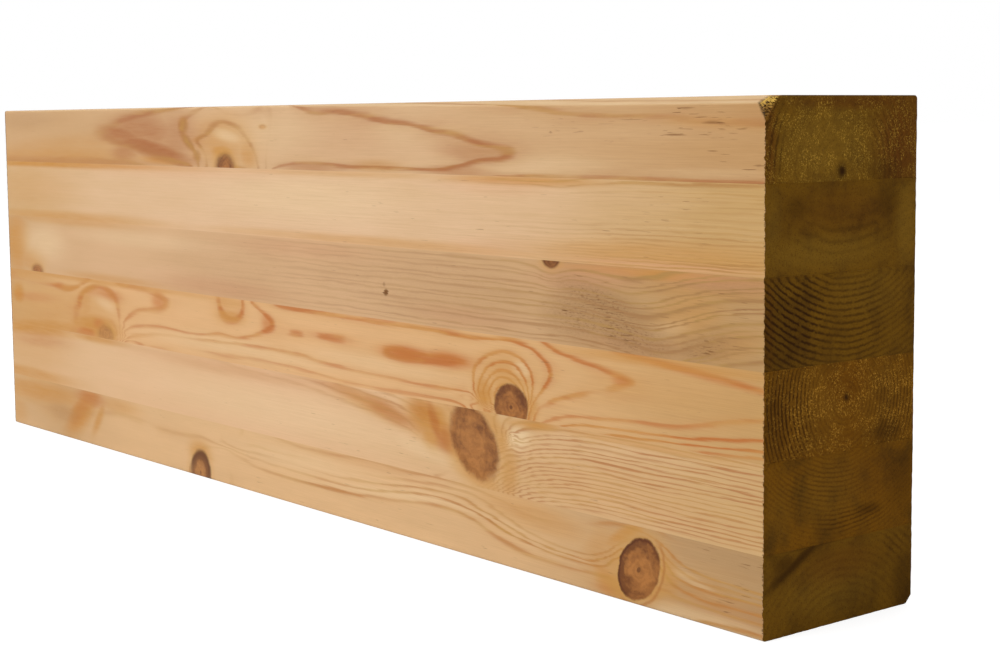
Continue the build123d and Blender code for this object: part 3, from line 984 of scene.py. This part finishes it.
def fade_chamfer(tube):
    """Shrink the near top chamfer towards the far end, where the arris is sharp.

    A point's share of the full chamfer is kept, and is laid on a path across the top, over the smaller
    chamfer and down the side. The chamfer grows smoothly from FAR_CHAMFER to NEAR_CHAMFER along the beam.
    """
    size = chamfer_size(tube[:, :, 0])
    across = (tube[:, :, 1] - SHOW_SIDE) / TOP_CHAMFER_ACROSS
    down = (TOP_EDGE - tube[:, :, 2]) / TOP_CHAMFER_DOWN
    on_chamfer = np.abs(across + down - 1) < ON_CHAMFER
    share = np.clip((across - (1 - size) / 2) / size, 0, 1)
    new_across = size * share + np.maximum(0, 2 * across - 1 - size)
    new_down = size * (1 - share) + np.maximum(0, 1 - size - 2 * across)
    tube[:, :, 1] = np.where(on_chamfer, SHOW_SIDE + new_across * TOP_CHAMFER_ACROSS, tube[:, :, 1])
    tube[:, :, 2] = np.where(on_chamfer, TOP_EDGE - new_down * TOP_CHAMFER_DOWN, tube[:, :, 2])


def board_skin(board):
    """Closed skin: the section carried along the stations, and a grid zipped into each end."""
    section = board_section(board.low, board.high)
    stations = board_stations()
    around, along = len(section), len(stations)
    tube = np.empty((along, around, 3))
    tube[:, :, 0] = stations[:, None]
    tube[:, :, 1:] = section[None]
    fade_chamfer(tube)
    ids = np.arange(along * around).reshape(along, around)
    after = np.roll(ids, -1, 1)
    squares = [np.stack([ids[:-1], after[:-1], after[1:], ids[1:]], -1).reshape(-1, 4)]
    triangles = []
    points = [tube.reshape(-1, 3)]
    on_end = [np.zeros(along * around, bool)]
    count = along * around
    ends = ((SAWN_END, ids[-1], SAWN_END_STEP, 1), (FAR_END, ids[0], FAR_END_STEP, -1))
    for x, ring_ids, step, facing in ends:
        ys, zs = end_grid(section, step)
        border = grid_border(ys.shape, count)
        grid_points = np.column_stack([np.full(ys.size, x), ys.ravel(), zs.ravel()])
        inner_place = loop_place(grid_points[border - count][:, 1:])
        zipped = zip_loops(ring_ids, loop_place(section), border, inner_place)
        faces = grid_faces(ys.shape, count)
        squares.append(faces[:, ::facing])
        triangles.append(zipped[:, ::facing])
        points.append(grid_points)
        on_end.append(np.ones(ys.size, bool))
        on_end[0][ring_ids] = True
        count += ys.size
    return np.vstack(points), np.vstack(squares), np.vstack(triangles), np.concatenate(on_end)


def sawn_relief(places, rings, on_end):
    """How deep a point of an end lies in the cut: noise as fuzz, a slanting sine as saw marks, and rings."""
    y, z = places[:, 1], places[:, 2]
    yz = places[:, 1:]
    fuzz = 0.5 + 0.5 * value_noise(yz, FUZZ_WIDTH, FUZZ_SEED)
    sway = 2 * value_noise(yz, SAW_MARK_SWAY, SAW_MARK_SEED)
    marks = 0.5 + 0.5 * np.sin(2 * math.pi * (z + SAW_MARK_SLANT * y) / SAW_MARK_PITCH + sway)
    late = np.abs(np.mod(rings, 1) - 0.5) * 2
    depth = CUT_INSET + FUZZ_DEPTH * fuzz + SAW_MARK_DEPTH * marks + LATE_WOOD_DEPTH * late
    return np.where(on_end, depth, 0)


def arris_chips(places):
    """Chips along the sawn arris: the last ARRIS_LENGTH shrinks by two noises, squared towards the end."""
    x, y = places[:, 0], places[:, 1]
    yz = places[:, 1:]
    share = np.clip((x - SAWN_END + ARRIS_LENGTH) / ARRIS_LENGTH, 0, 1)
    big = np.clip(value_noise(yz, CHIP_WIDTH, CHIP_SEED), 0, 1) ** 2 * CHIP_DEPTH
    small = np.clip(value_noise(yz, SMALL_CHIP_WIDTH, SMALL_CHIP_SEED), 0, 1) * SMALL_CHIP_DEPTH
    edge = 1 - smooth_step(0, CHIP_REACH, y - SHOW_SIDE)
    return (big + small) * edge * share ** 2


def torn_corner(places):
    """Points beyond the tear move onto it along its normal; fibres leave ridges that run along the grain."""
    corner = np.array([SAWN_END, SHOW_SIDE, TOP_EDGE])
    legs = np.array([TEAR_ALONG, -TEAR_ACROSS, TEAR_DOWN])
    normal = 1 / legs
    normal /= np.linalg.norm(normal)
    beyond = (places - corner) @ normal + 1 / np.linalg.norm(1 / legs)
    stretched = places * np.array([1 / RIDGE_STRETCH, 1, 1])
    ridges = 0.5 + 0.5 * value_noise(stretched, RIDGE_WIDTH, RIDGE_SEED)
    rough = RIDGE_HEIGHT * ridges * smooth_step(-TEAR_LIP, RIDGES_FULL, beyond)
    depth = np.where(beyond > -TEAR_LIP, np.maximum(beyond, 0) + rough, 0)
    return places - depth[:, None] * normal, smooth_step(*BARE_WOOD, beyond)


def add_attribute(mesh, name, values):
    """Point attribute: a number, a vector or a colour, by the number of columns."""
    kinds = {1: ("FLOAT", "value"), 3: ("FLOAT_VECTOR", "vector"), 4: ("FLOAT_COLOR", "color")}
    columns = 1 if values.ndim == 1 else values.shape[1]
    kind, key = kinds[columns]
    data = mesh.attributes.new(name, kind, "POINT").data
    data.foreach_set(key, np.ascontiguousarray(values, np.float32).ravel())


def mesh_object(name, points, squares, triangles, fields):
    """Object from points in millimetres, faces and point attributes, smooth but for its arrises.

    A face whose points all lie on a sawn end gets the second material.
    """
    sawn = fields["sawn"] > 0.5
    materials = np.concatenate([sawn[squares].all(1), sawn[triangles].all(1)])
    mesh = bpy.data.meshes.new(name)
    loops = np.concatenate([squares.ravel(), triangles.ravel()]).astype(np.int32)
    sizes = np.concatenate([np.full(len(squares), 4), np.full(len(triangles), 3)])
    starts = np.concatenate([[0], np.cumsum(sizes)[:-1]]).astype(np.int32)
    mesh.vertices.add(len(points))
    mesh.vertices.foreach_set("co", (points * MM).astype(np.float32).ravel())
    mesh.loops.add(len(loops))
    mesh.loops.foreach_set("vertex_index", loops)
    mesh.polygons.add(len(sizes))
    mesh.polygons.foreach_set("loop_start", starts)
    mesh.update(calc_edges=True)
    mesh.polygons.foreach_set("material_index", materials.astype(np.int32))
    mesh.validate()
    mesh.shade_smooth()
    mesh.set_sharp_from_angle(angle=math.radians(SHARP_ANGLE))
    for field, values in fields.items():
        add_attribute(mesh, field, np.asarray(values, float))
    result = bpy.data.objects.new(name, mesh)
    bpy.context.scene.collection.objects.link(result)
    return result


# Materials

PINE = {
    "cream": "E4C69A", "honey": "C48A40", "grey": "99724A", "fleck": "74491C",
    "knot_dark": "62300C", "knot_light": "AC6E34", "knot_ochre": "B57336", "knot_pale": "CD9959",
    "bark": "56280A", "resin": "C99448", "torn": "E2B654",
    "end": "745013", "end_dark": "583B11", "end_pale": "866421", "end_red": "5E3010", "end_line": "331D09",
    "end_speck": "B88E34",
}
PALETTES = {
    "lamination_1": {
        "pale": "D6B086", "tan": "BC905C", "red": "A8683A", "late": "A8693A", "late_ochre": "B4823F",
    },
    "lamination_2": {
        "pale": "DEB992", "tan": "C39C62", "red": "D7A27A", "late": "AC7A42", "late_ochre": "B88A48",
    },
    "lamination_3": {
        "pale": "D6AD83", "tan": "B68F5C", "red": "C59068", "late": "A4784A", "late_ochre": "AC8448",
    },
    "lamination_4": {
        "pale": "DEB07D", "tan": "C49A62", "red": "BE6E30", "late": "BA6C2E", "late_ochre": "C2853C",
        "end": "784E10", "end_dark": "5E3D0E", "end_red": "75460C", "end_speck": "BA862F",
    },
    "lamination_5": {
        "pale": "E0B88E", "tan": "C9A36C", "red": "B06220", "late": "B47A48", "late_ochre": "BC8C4C",
        "end": "7B5010",
    },
    "lamination_6": {
        "pale": "DDB585", "tan": "B48F62", "red": "BA763C", "late": "B67A3E", "late_ochre": "BC8C48",
    },
}

# Pale fuzz on the sawn ends, as a share: two boards are far fuzzier than the others
SAW_FUZZ = {"lamination_1": 1.3, "lamination_4": 1.8}
LITTLE_FUZZ = 0.12

# The figure is blurred up to one place along the beam and sharp from another, in metres from the middle
BLURRED_TO = -0.30
SHARP_FROM = 0.15

# Late wood, in ring numbers
THINNEST_BAND = 0.08
WIDEST_BAND = 0.26
WIDEST_SPREAD = 0.36

# Waves of the rings inside a knot
KNOT_RING_PACE = 18.0

# Stained grain before the sawn arris, in millimetres
FRINGE_LENGTH = 5.0
FRINGE_START = 1.5
FRINGE_FULL = 2.3

# Yellow splinters of the torn corner, in millimetres below the top; lower down the tear keeps its painted
# shade
SPLINTER_START = 7.0
SPLINTER_FULL = 2.0

BUMP_DEPTH = 0.12
BUMP_STRENGTH = 0.5
PLANED_GLOSS = 0.22
SAWN_GLOSS = 0.03
SAWN_ROUGHNESS = 0.9


def linear(hex_colour):
    """Scene colour of an sRGB colour written as six hexadecimal digits, by the sRGB curve."""
    parts = [int(hex_colour[i:i + 2], 16) / 255 for i in (0, 2, 4)]
    return tuple(p / 12.92 if p <= 0.04045 else ((p + 0.055) / 1.055) ** 2.4 for p in parts) + (1.0,)


class Nodes:
    """Short calls that add nodes to one material and join them."""
    def __init__(self, name):
        self.material = bpy.data.materials.new(name)
        self.material.use_nodes = True
        self.tree = self.material.node_tree
        self.tree.nodes.clear()

    def put(self, socket, value):
        """A link from a socket, or a plain value."""
        if isinstance(value, bpy.types.NodeSocket):
            self.tree.links.new(value, socket)
        else:
            socket.default_value = value

    def add(self, kind, inputs=(), **settings):
        """A node with its settings and its inputs, which are named or counted from 0."""
        node = self.tree.nodes.new(kind)
        for key, value in settings.items():
            setattr(node, key, value)
        for key, value in dict(inputs).items():
            self.put(node.inputs[key], value)
        return node

    def attribute(self, name, output="Fac"):
        """A number that the mesh carries, or with another output its vector."""
        return self.add("ShaderNodeAttribute", attribute_name=name).outputs[output]

    def stains(self):
        """The four stain strengths, which travel as the colour and alpha of one attribute."""
        cast = self.add("ShaderNodeAttribute", attribute_name="cast")
        parts = self.add("ShaderNodeSeparateColor", {"Color": cast.outputs["Color"]}).outputs
        return parts[0], parts[1], parts[2], cast.outputs["Alpha"]

    def axes(self, vector):
        """The three parts of a vector."""
        return self.add("ShaderNodeSeparateXYZ", {0: vector}).outputs

    def math(self, operation, *values, clamp=False):
        """One mathematical operation; clamp keeps its result within 0 and 1."""
        node = self.add("ShaderNodeMath", operation=operation, use_clamp=clamp)
        for socket, value in zip(node.inputs, values):
            self.put(socket, value)
        return node.outputs[0]

    def product(self, first, *others):
        """All the values multiplied."""
        for other in others:
            first = self.math("MULTIPLY", first, other)
        return first

    def total(self, first, *others):
        """All the values added."""
        for other in others:
            first = self.math("ADD", first, other)
        return first

    def line(self, value, slope, start):
        """Straight line: slope times the value, plus start."""
        return self.math("MULTIPLY_ADD", value, slope, start)

    def rest(self, share):
        """What a share leaves of 1."""
        return self.math("SUBTRACT", 1.0, share)

    def swing(self, noise, size):
        """Noise of 0 to 1 as a swing about 0, size wide."""
        return self.product(self.math("SUBTRACT", noise, 0.5), size)

    def distance(self, u, v):
        """Length of (u, v)."""
        return self.math("SQRT", self.total(self.product(u, u), self.product(v, v)))

    def step(self, low, high, value):
        """Smooth step of a value from low to high."""
        inputs = {"Value": value, "From Min": low, "From Max": high}
        return self.add("ShaderNodeMapRange", inputs, interpolation_type="SMOOTHSTEP").outputs[0]

    def hump(self, rise, fall, value):
        """Up by a smooth step over the rise, and down by one over the fall; each is (low, high)."""
        return self.product(self.step(*rise, value), self.rest(self.step(*fall, value)))

    def blend(self, factor, first, second, kind="MIX"):
        """Colour between two colours."""
        node = self.add("ShaderNodeMix", data_type="RGBA", blend_type=kind)
        for socket, value in zip((node.inputs[0], node.inputs[6], node.inputs[7]), (factor, first, second)):
            self.put(socket, value)
        return node.outputs[2]

    def grain(self, place, along, across, detail, roughness=0.55):
        """Noise of 0 to 1 that changes about every so many millimetres along and across the grain."""
        stretch = (1 / (along * MM), 1 / (across * MM), 1 / (across * MM))
        stretched = self.add("ShaderNodeVectorMath", {0: place, 1: stretch}, operation="MULTIPLY").outputs[0]
        inputs = {"Vector": stretched, "Scale": 1.0, "Detail": detail, "Roughness": roughness}
        return self.add("ShaderNodeTexNoise", inputs).outputs["Fac"]

    def random(self, value):
        """Number of 0 to 1 that is drawn anew for each value."""
        return self.add("ShaderNodeTexWhiteNoise", {"W": value}, noise_dimensions="1D").outputs["Value"]


def late_wood(n, rings, bold, place, blur):
    """Late wood about each whole ring number: a band with a slow rise and a sharper fall, and a soft skirt.

    A band's width in ring numbers grows with the square root of the rings per millimetre, so a line stays
    slim where the rings lie far apart. Fibres fray it, its strength comes and goes along the grain, and it
    blurs to the far end.
    """
    pace = n.attribute("pace")
    fray = n.swing(n.grain(place, 30, 1.4, 3), 2.6)
    wander = n.swing(n.grain(place, 80, 9, 2), 3.6)
    number = n.total(rings, n.product(n.total(fray, wander), pace), 0.5)
    phase = n.math("FRACT", number)
    each = n.random(n.math("FLOOR", number))
    width = n.product(n.math("SQRT", pace), n.line(bold, 0.16, 0.42))
    width = n.math("MINIMUM", n.math("MAXIMUM", width, THINNEST_BAND), WIDEST_BAND)
    spread = n.math("MINIMUM", n.product(width, n.line(blur, 0.7, 1.0)), WIDEST_SPREAD)
    rise = (n.line(spread, -1.35, 0.5), n.line(width, -0.1, 0.5))
    fall = (n.line(width, 0.15, 0.5), n.line(spread, 0.9, 0.5))
    band = n.hump(rise, fall, phase)
    soft = n.hump((0.0, 0.5), (0.5, 0.9), phase)
    lift = n.grain(place, 60, 8, 3)
    strength = n.product(bold, n.line(each, 0.5, 0.7), n.line(lift, 1.2, 0.4), n.line(blur, -0.2, 1.0))
    strength = n.math("MINIMUM", strength, 1.0)
    return n.product(band, strength), n.product(soft, strength), lift


def side_wood(n, palette, place, rings):
    """Planed side: two tones that drift along the board, stains, late wood, fibre streaks and flecks."""
    red, honey, grey, pale = n.stains()
    blur = n.rest(n.step(BLURRED_TO, SHARP_FROM, n.axes(place)[0]))
    band, soft, lift = late_wood(n, rings, n.attribute("bold"), place, blur)
    ruddy = n.math("SUBTRACT", n.math("MAXIMUM", n.step(0.38, 0.58, lift), red), honey, clamp=True)
    late = n.blend(ruddy, palette["late_ochre"], palette["late"])
    cloud = n.grain(place, 120, 16, 3)
    tan = n.math("ADD", n.attribute("tan"), n.swing(cloud, 0.5), clamp=True)
    colour = n.blend(tan, palette["pale"], palette["tan"])
    ragged = n.line(n.grain(place, 26, 2.6, 4), 0.7, 0.65)
    for stain, tone in ((honey, "honey"), (red, "red"), (pale, "cream")):
        colour = n.blend(n.math("MULTIPLY", stain, ragged, clamp=True), colour, palette[tone])
    speck = n.grain(place, 3.2, 0.9, 3, 0.7)
    colour = n.blend(n.math("MULTIPLY", grey, n.line(speck, 1.5, 0.1), clamp=True), colour, palette["grey"])
    freckle = n.product(n.step(0.54, 0.64, speck), n.step(0.35, 0.8, grey), 0.6)
    colour = n.blend(freckle, colour, palette["fleck"])
    colour = n.blend(n.product(soft, 0.26), colour, late)
    colour = n.blend(n.product(band, 0.88), colour, late)
    fibre = n.grain(place, 70, 0.8, 4, 0.65)
    fine = n.grain(place, 14, 0.35, 3, 0.6)
    streaks = n.total(n.swing(fibre, 0.20), n.swing(fine, 0.14))
    shade = n.total(n.product(streaks, n.line(blur, -0.65, 1.0)), 1.0)
    shades = {0: shade, 1: n.math("POWER", shade, 1.25), 2: n.math("POWER", shade, 1.6)}
    colour = n.blend(1.0, colour, n.add("ShaderNodeCombineXYZ", shades).outputs[0], "MULTIPLY")
    flecks = n.attribute("flecks")
    fleck = n.step(n.line(flecks, -0.09, 0.70), n.line(flecks, -0.09, 0.76), n.grain(place, 14, 0.8, 1))
    sites = n.step(0.48, 0.62, n.grain(place, 40, 14, 2))
    fleck = n.product(fleck, n.math("MAXIMUM", sites, flecks), n.line(blur, -0.8, 1.0))
    fleck = n.math("MAXIMUM", fleck, n.math("SUBTRACT", flecks, 1.0))
    share = n.math("MULTIPLY", fleck, n.line(flecks, 0.35, 0.45), clamp=True)
    return n.blend(share, colour, palette["fleck"]), band, fibre, fleck


def knot_wood(n, palette, colour, place):
    """Knots: a frayed, mottled oval with faint rings of its own and a bark rim, in a halo of resin. The dark
    zone and the rim are painted full on the knot's upper side and faint on its lower side as shade, and a
    light ring below the knot is a painted highlight.
    """
    u, v, blur = n.axes(n.attribute("knot_place", "Vector"))
    core, rim, halo = n.axes(n.attribute("knot_tone", "Vector"))
    rough = n.grain(place, 8, 7, 4, 0.6)
    fray = n.grain(place, 2.2, 1.6, 3, 0.6)
    bare_radius = n.math("MAXIMUM", n.distance(u, v), n.math("SUBTRACT", n.attribute("knot_radius"), 0.3))
    radius = n.total(bare_radius, n.total(n.swing(rough, 0.2), n.swing(fray, 0.07)))
    inside = n.rest(n.step(n.line(blur, -0.5, 0.94), n.line(blur, 0.3, 1.03), radius))
    own_rings = n.math("SINE", n.line(rough, KNOT_RING_PACE, n.product(radius, KNOT_RING_PACE)))
    mottle = n.grain(place, 9, 5, 4, 0.62)
    patch = n.grain(place, 11, 8, 2, 0.5)
    zone = n.step(0.44, 0.72, n.total(radius, n.swing(patch, 1.1)))
    # Painted shade: the knot's dark zone and bark rim are full on its upper side and a fifth as strong on
    # its lower side
    painted_shade_side = n.line(n.step(-0.85, 0.5, v), 0.8, 0.2)
    shade = n.total(n.product(zone, n.line(rim, -0.4, -0.28), painted_shade_side), n.swing(mottle, 1.5))
    aside = n.distance(n.math("SUBTRACT", u, 0.15), n.total(v, 0.2))
    fresh = n.product(n.rest(n.step(0.2, 0.75, aside)), 0.15)
    lightness = n.math("ADD", n.line(own_rings, 0.13, fresh), n.total(shade, 0.67), clamp=True)
    lightness = n.math("SUBTRACT", lightness, n.math("SUBTRACT", core, 1.0, clamp=True), clamp=True)
    core = n.math("MINIMUM", core, 1.0)
    dark_core = n.blend(lightness, palette["knot_dark"], palette["knot_light"])
    ochre_core = n.blend(lightness, palette["knot_ochre"], palette["knot_pale"])
    core_colour = n.blend(core, ochre_core, dark_core)
    heart = n.product(n.rest(n.step(0.06, 0.12, bare_radius)), core, n.step(0.1, 0.3, rim))
    core_colour = n.blend(n.product(heart, 0.8), core_colour, palette["bark"])
    bark_inside, bark_outside = n.line(blur, -0.6, 0.85), n.line(blur, 0.3, 1.05)
    edge = n.product(n.hump((bark_inside, 0.94), (0.97, bark_outside), radius), rim, painted_shade_side)
    # Painted highlight: a light ring just outside the knot on its lower side
    painted_ridge_highlight = n.product(n.hump((1.08, 1.17), (1.19, 1.3), radius), rim, n.rest(n.step(-0.5, 0.3, v)))
    fade = n.rest(n.step(0.9, 1.75, radius))
    colour = n.blend(n.product(fade, halo, 0.75), colour, palette["resin"])
    colour = n.blend(n.product(inside, n.line(core, 0.45, 0.5)), colour, core_colour)
    colour = n.blend(n.product(painted_ridge_highlight, 0.6), colour, palette["knot_light"])
    colour = n.blend(n.product(edge, 0.85), colour, palette["bark"])
    return colour, inside, edge


def end_wood(n, palette, place, rings, fuzz_share):
    """Treated sawn end: dark olive brown, darker rings, blotches, and pale fuzz that the saw pulled up."""
    red, dark, _, pale = n.stains()
    fray = n.grain(place, 2.6, 2.6, 4, 0.65)
    sway = n.grain(place, 24, 24, 2, 0.5)
    moved = n.total(n.swing(fray, 0.55), n.swing(sway, 1.1))
    phase = n.math("FRACT", n.total(moved, n.total(rings, 0.5)))
    band = n.product(n.hump((0.14, 0.48), (0.55, 0.82), phase), n.attribute("bold"))
    cloud = n.grain(place, 22, 22, 4, 0.6)
    colour = n.blend(n.step(0.25, 0.6, cloud), palette["end_dark"], palette["end"])
    colour = n.blend(n.product(pale, 0.6), colour, palette["end_pale"])
    colour = n.blend(n.product(red, 0.8), colour, palette["end_red"])
    broken = n.step(0.25, 0.5, n.grain(place, 5, 5, 3, 0.6))
    colour = n.blend(n.product(band, broken), colour, palette["end_line"])
    fuzz = n.grain(place, 1.1, 0.9, 4, 0.8)
    flock = n.step(0.35, 0.6, n.grain(place, 9, 9, 2, 0.6))
    share = n.line(pale, 0.5 * fuzz_share, 0.5 * fuzz_share)
    speck = n.product(n.step(0.52, 0.62, fuzz), share, flock, n.line(band, -0.6, 1.0))
    colour = n.blend(speck, colour, palette["end_speck"])
    colour = n.blend(n.product(dark, n.step(0.0, 0.25, fray)), colour, palette["end_line"])
    pores = n.step(0.52, 0.66, n.grain(place, 0.8, 0.8, 3, 0.75))
    colour = n.blend(n.product(pores, 0.5), colour, palette["end_line"])
    return colour, band, fuzz


def torn_wood(n, palette, colour, place):
    """Wood torn from the corner: dark brown fibres, darkened below as painted shade of the tear, with yellow
    splinters near the top.
    """
    splinter = n.grain(place, 9, 0.8, 3)
    near_top = n.step((TOP_EDGE - SPLINTER_START) * MM, (TOP_EDGE - SPLINTER_FULL) * MM, n.axes(place)[2])
    # Painted shade: the lower tear is dark brown fibre colour standing in for the tear's shade, with
    # resin-coloured splinters
    shaded = n.blend(n.product(n.step(0.36, 0.64, splinter), 0.55), palette["end_line"], palette["resin"])
    fresh = n.blend(n.product(n.step(0.42, 0.58, splinter), near_top), shaded, palette["torn"])
    return n.blend(n.attribute("torn"), colour, fresh)


def finish_surface(n, colour, roughness, height, gloss):
    """Principled surface from a colour, a roughness, a bump height and its gloss."""
    relief = {"Height": height, "Strength": BUMP_STRENGTH, "Distance": BUMP_DEPTH * MM}
    bump = n.add("ShaderNodeBump", relief)
    surface = {"Base Color": colour, "Roughness": roughness, "Normal": bump.outputs[0]}
    shader = n.add("ShaderNodeBsdfPrincipled", {**surface, "Specular IOR Level": gloss})
    n.add("ShaderNodeOutputMaterial", {"Surface": shader.outputs[0]})
    return n.material


def planed_material(name, palette):
    """A board's planed faces with their knots; the last of the grain before the sawn arris is stained."""
    n = Nodes(name)
    place = n.add("ShaderNodeTexCoord").outputs["Object"]
    colour, band, fibre, fleck = side_wood(n, palette, place, n.attribute("rings"))
    colour, inside, hollow = knot_wood(n, palette, colour, place)
    from_middle = n.math("ABSOLUTE", n.axes(place)[0])
    fringe = n.product(n.grain(place, 12, 0.9, 3, 0.6), FRINGE_LENGTH * MM)
    start, full = (SAWN_END + FRINGE_START) * MM, (SAWN_END + FRINGE_FULL) * MM
    stained = n.step(start, full, n.total(from_middle, fringe))
    colour = n.blend(n.product(stained, 0.8), colour, palette["end_dark"])
    colour = n.blend(n.step(0.3, 0.9, n.attribute("sawn")), colour, palette["end"])
    colour = torn_wood(n, palette, colour, place)
    roughness = n.line(inside, -0.05, n.line(fibre, 0.16, n.line(band, -0.08, 0.46)))
    hollows = n.math("MAXIMUM", fleck, hollow)
    height = n.math("SUBTRACT", n.line(band, 0.35, n.product(fibre, 0.5)), hollows)
    return finish_surface(n, colour, roughness, height, PLANED_GLOSS)


def sawn_material(name, palette, fuzz_share):
    """A board's treated sawn ends: matt and fuzzy."""
    n = Nodes(name)
    place = n.add("ShaderNodeTexCoord").outputs["Object"]
    colour, band, fuzz = end_wood(n, palette, place, n.attribute("rings"), fuzz_share)
    colour = torn_wood(n, palette, colour, place)
    height = n.math("SUBTRACT", n.product(fuzz, 3.0), n.product(band, 1.2))
    return finish_surface(n, colour, SAWN_ROUGHNESS, height, SAWN_GLOSS)


def floor_material():
    """White floor: matt, and for the camera part of it glows, so it is white and keeps a soft shadow."""
    n = Nodes("white_floor")
    matt_white = (0.8, 0.8, 0.8, 1)
    seen_grey = (0.38, 0.38, 0.38, 1)
    plain = n.add("ShaderNodeBsdfDiffuse", {"Color": matt_white})
    seen = n.add("ShaderNodeBsdfDiffuse", {"Color": seen_grey})
    glow = n.add("ShaderNodeEmission", {"Color": (1, 1, 1, 1), "Strength": FLOOR_GLOW})
    both = n.add("ShaderNodeAddShader", {0: seen.outputs[0], 1: glow.outputs[0]})
    camera_ray = n.add("ShaderNodeLightPath").outputs["Is Camera Ray"]
    mixed = n.add("ShaderNodeMixShader", {0: camera_ray, 1: plain.outputs[0], 2: both.outputs[0]})
    n.add("ShaderNodeOutputMaterial", {"Surface": mixed.outputs[0]})
    return n.material


# Boards

def make_board(number, board):
    """One board's piece in the place of its solid; the top one has the torn corner."""
    name = f"lamination_{number}"
    low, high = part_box(name)
    board.low, board.high = low[2] / MM, high[2] / MM
    points, squares, triangles, on_end = board_skin(board)
    fields = board_fields(points, board, on_end)
    points[:, 0] -= arris_chips(points)
    points[:, 0] -= np.sign(points[:, 0]) * sawn_relief(points, fields["rings"], on_end)
    torn = np.zeros(len(points))
    if number == 1:
        points, torn = torn_corner(points)
    fields["torn"] = torn
    piece = mesh_object(f"board_{number}", points, squares, triangles, fields)
    palette = {key: linear(value) for key, value in {**PINE, **PALETTES[name]}.items()}
    piece.data.materials.append(planed_material(name + "_planed", palette))
    piece.data.materials.append(sawn_material(name + "_sawn", palette, SAW_FUZZ.get(name, LITTLE_FUZZ)))
    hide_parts(name)
    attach(piece, "root")


for number, figure in enumerate((board_1, board_2, board_3, board_4, board_5, board_6), 1):
    make_board(number, figure())


# Stage, light and camera

def add_floor():
    """Large floor at the height of the underside."""
    corners = [(-FLOOR_HALF, -FLOOR_HALF, 0), (FLOOR_HALF, -FLOOR_HALF, 0),
               (FLOOR_HALF, FLOOR_HALF, 0), (-FLOOR_HALF, FLOOR_HALF, 0)]
    mesh = bpy.data.meshes.new("floor")
    mesh.from_pydata(corners, [], [(0, 1, 2, 3)])
    floor = bpy.data.objects.new("floor", mesh)
    floor.location.z = UNDERSIDE * MM - FLOOR_DROP
    bpy.context.scene.collection.objects.link(floor)
    floor.data.materials.append(floor_material())


def add_world(strength):
    """Even white light from all round, and white behind the object for the camera and for reflections."""
    world = bpy.data.worlds.new("studio")
    world.use_nodes = True
    bpy.context.scene.world = world
    tree = world.node_tree
    tree.nodes.clear()
    path = tree.nodes.new("ShaderNodeLightPath")
    seen = path.outputs["Is Camera Ray"]
    for ray in ("Is Transmission Ray", "Is Glossy Ray"):
        either = tree.nodes.new("ShaderNodeMath")
        either.operation = "MAXIMUM"
        tree.links.new(seen, either.inputs[0])
        tree.links.new(path.outputs[ray], either.inputs[1])
        seen = either.outputs[0]
    level_mix = tree.nodes.new("ShaderNodeMix")
    level_mix.data_type = "FLOAT"
    level_mix.inputs[2].default_value = strength
    level_mix.inputs[3].default_value = 1.0
    tree.links.new(seen, level_mix.inputs[0])
    background = tree.nodes.new("ShaderNodeBackground")
    background.inputs["Color"].default_value = (1, 1, 1, 1)
    tree.links.new(level_mix.outputs[0], background.inputs["Strength"])
    output = tree.nodes.new("ShaderNodeOutputWorld")
    tree.links.new(background.outputs[0], output.inputs["Surface"])


def add_softbox(name, place, target, size, power):
    """Square area lamp at a place, turned to a target."""
    lamp = bpy.data.lights.new(name, "AREA")
    lamp.shape = "SQUARE"
    lamp.size = size
    lamp.energy = power
    holder = bpy.data.objects.new(name, lamp)
    direction = (np.array(target) - np.array(place)).astype(float)
    back = -direction / np.linalg.norm(direction)
    right = np.cross((0, 0, 1), back)
    right /= np.linalg.norm(right)
    up = np.cross(back, right)
    turn = Matrix([list(row) for row in np.column_stack([right, up, back])]).to_4x4()
    turn.translation = place
    holder.matrix_world = turn
    bpy.context.scene.collection.objects.link(holder)


def add_camera():
    """Camera at the photograph's viewing angle: a turn about Z, a pitch down and a small roll."""
    camera = bpy.data.cameras.new("camera")
    camera.sensor_width = CAMERA_SENSOR
    camera.lens = CAMERA_LENS
    camera.shift_y = CAMERA_SHIFT_UP
    camera.clip_end = CAMERA_CLIP
    holder = bpy.data.objects.new("camera", camera)
    azimuth = Matrix.Rotation(math.radians(CAMERA_AZIMUTH), 4, "Z")
    pitch = Matrix.Rotation(math.pi / 2 - math.radians(CAMERA_PITCH), 4, "X")
    roll = Matrix.Rotation(math.radians(CAMERA_ROLL), 4, "Z")
    turn = azimuth @ pitch @ roll
    turn.translation = [length * MM for length in CAMERA_PLACE]
    holder.matrix_world = turn
    bpy.context.scene.collection.objects.link(holder)
    bpy.context.scene.camera = holder


add_floor()
add_world(WORLD_STRENGTH)
for softbox in SOFTBOXES:
    add_softbox(**softbox)
add_camera()
bpy.context.scene.view_settings.view_transform = "Standard"
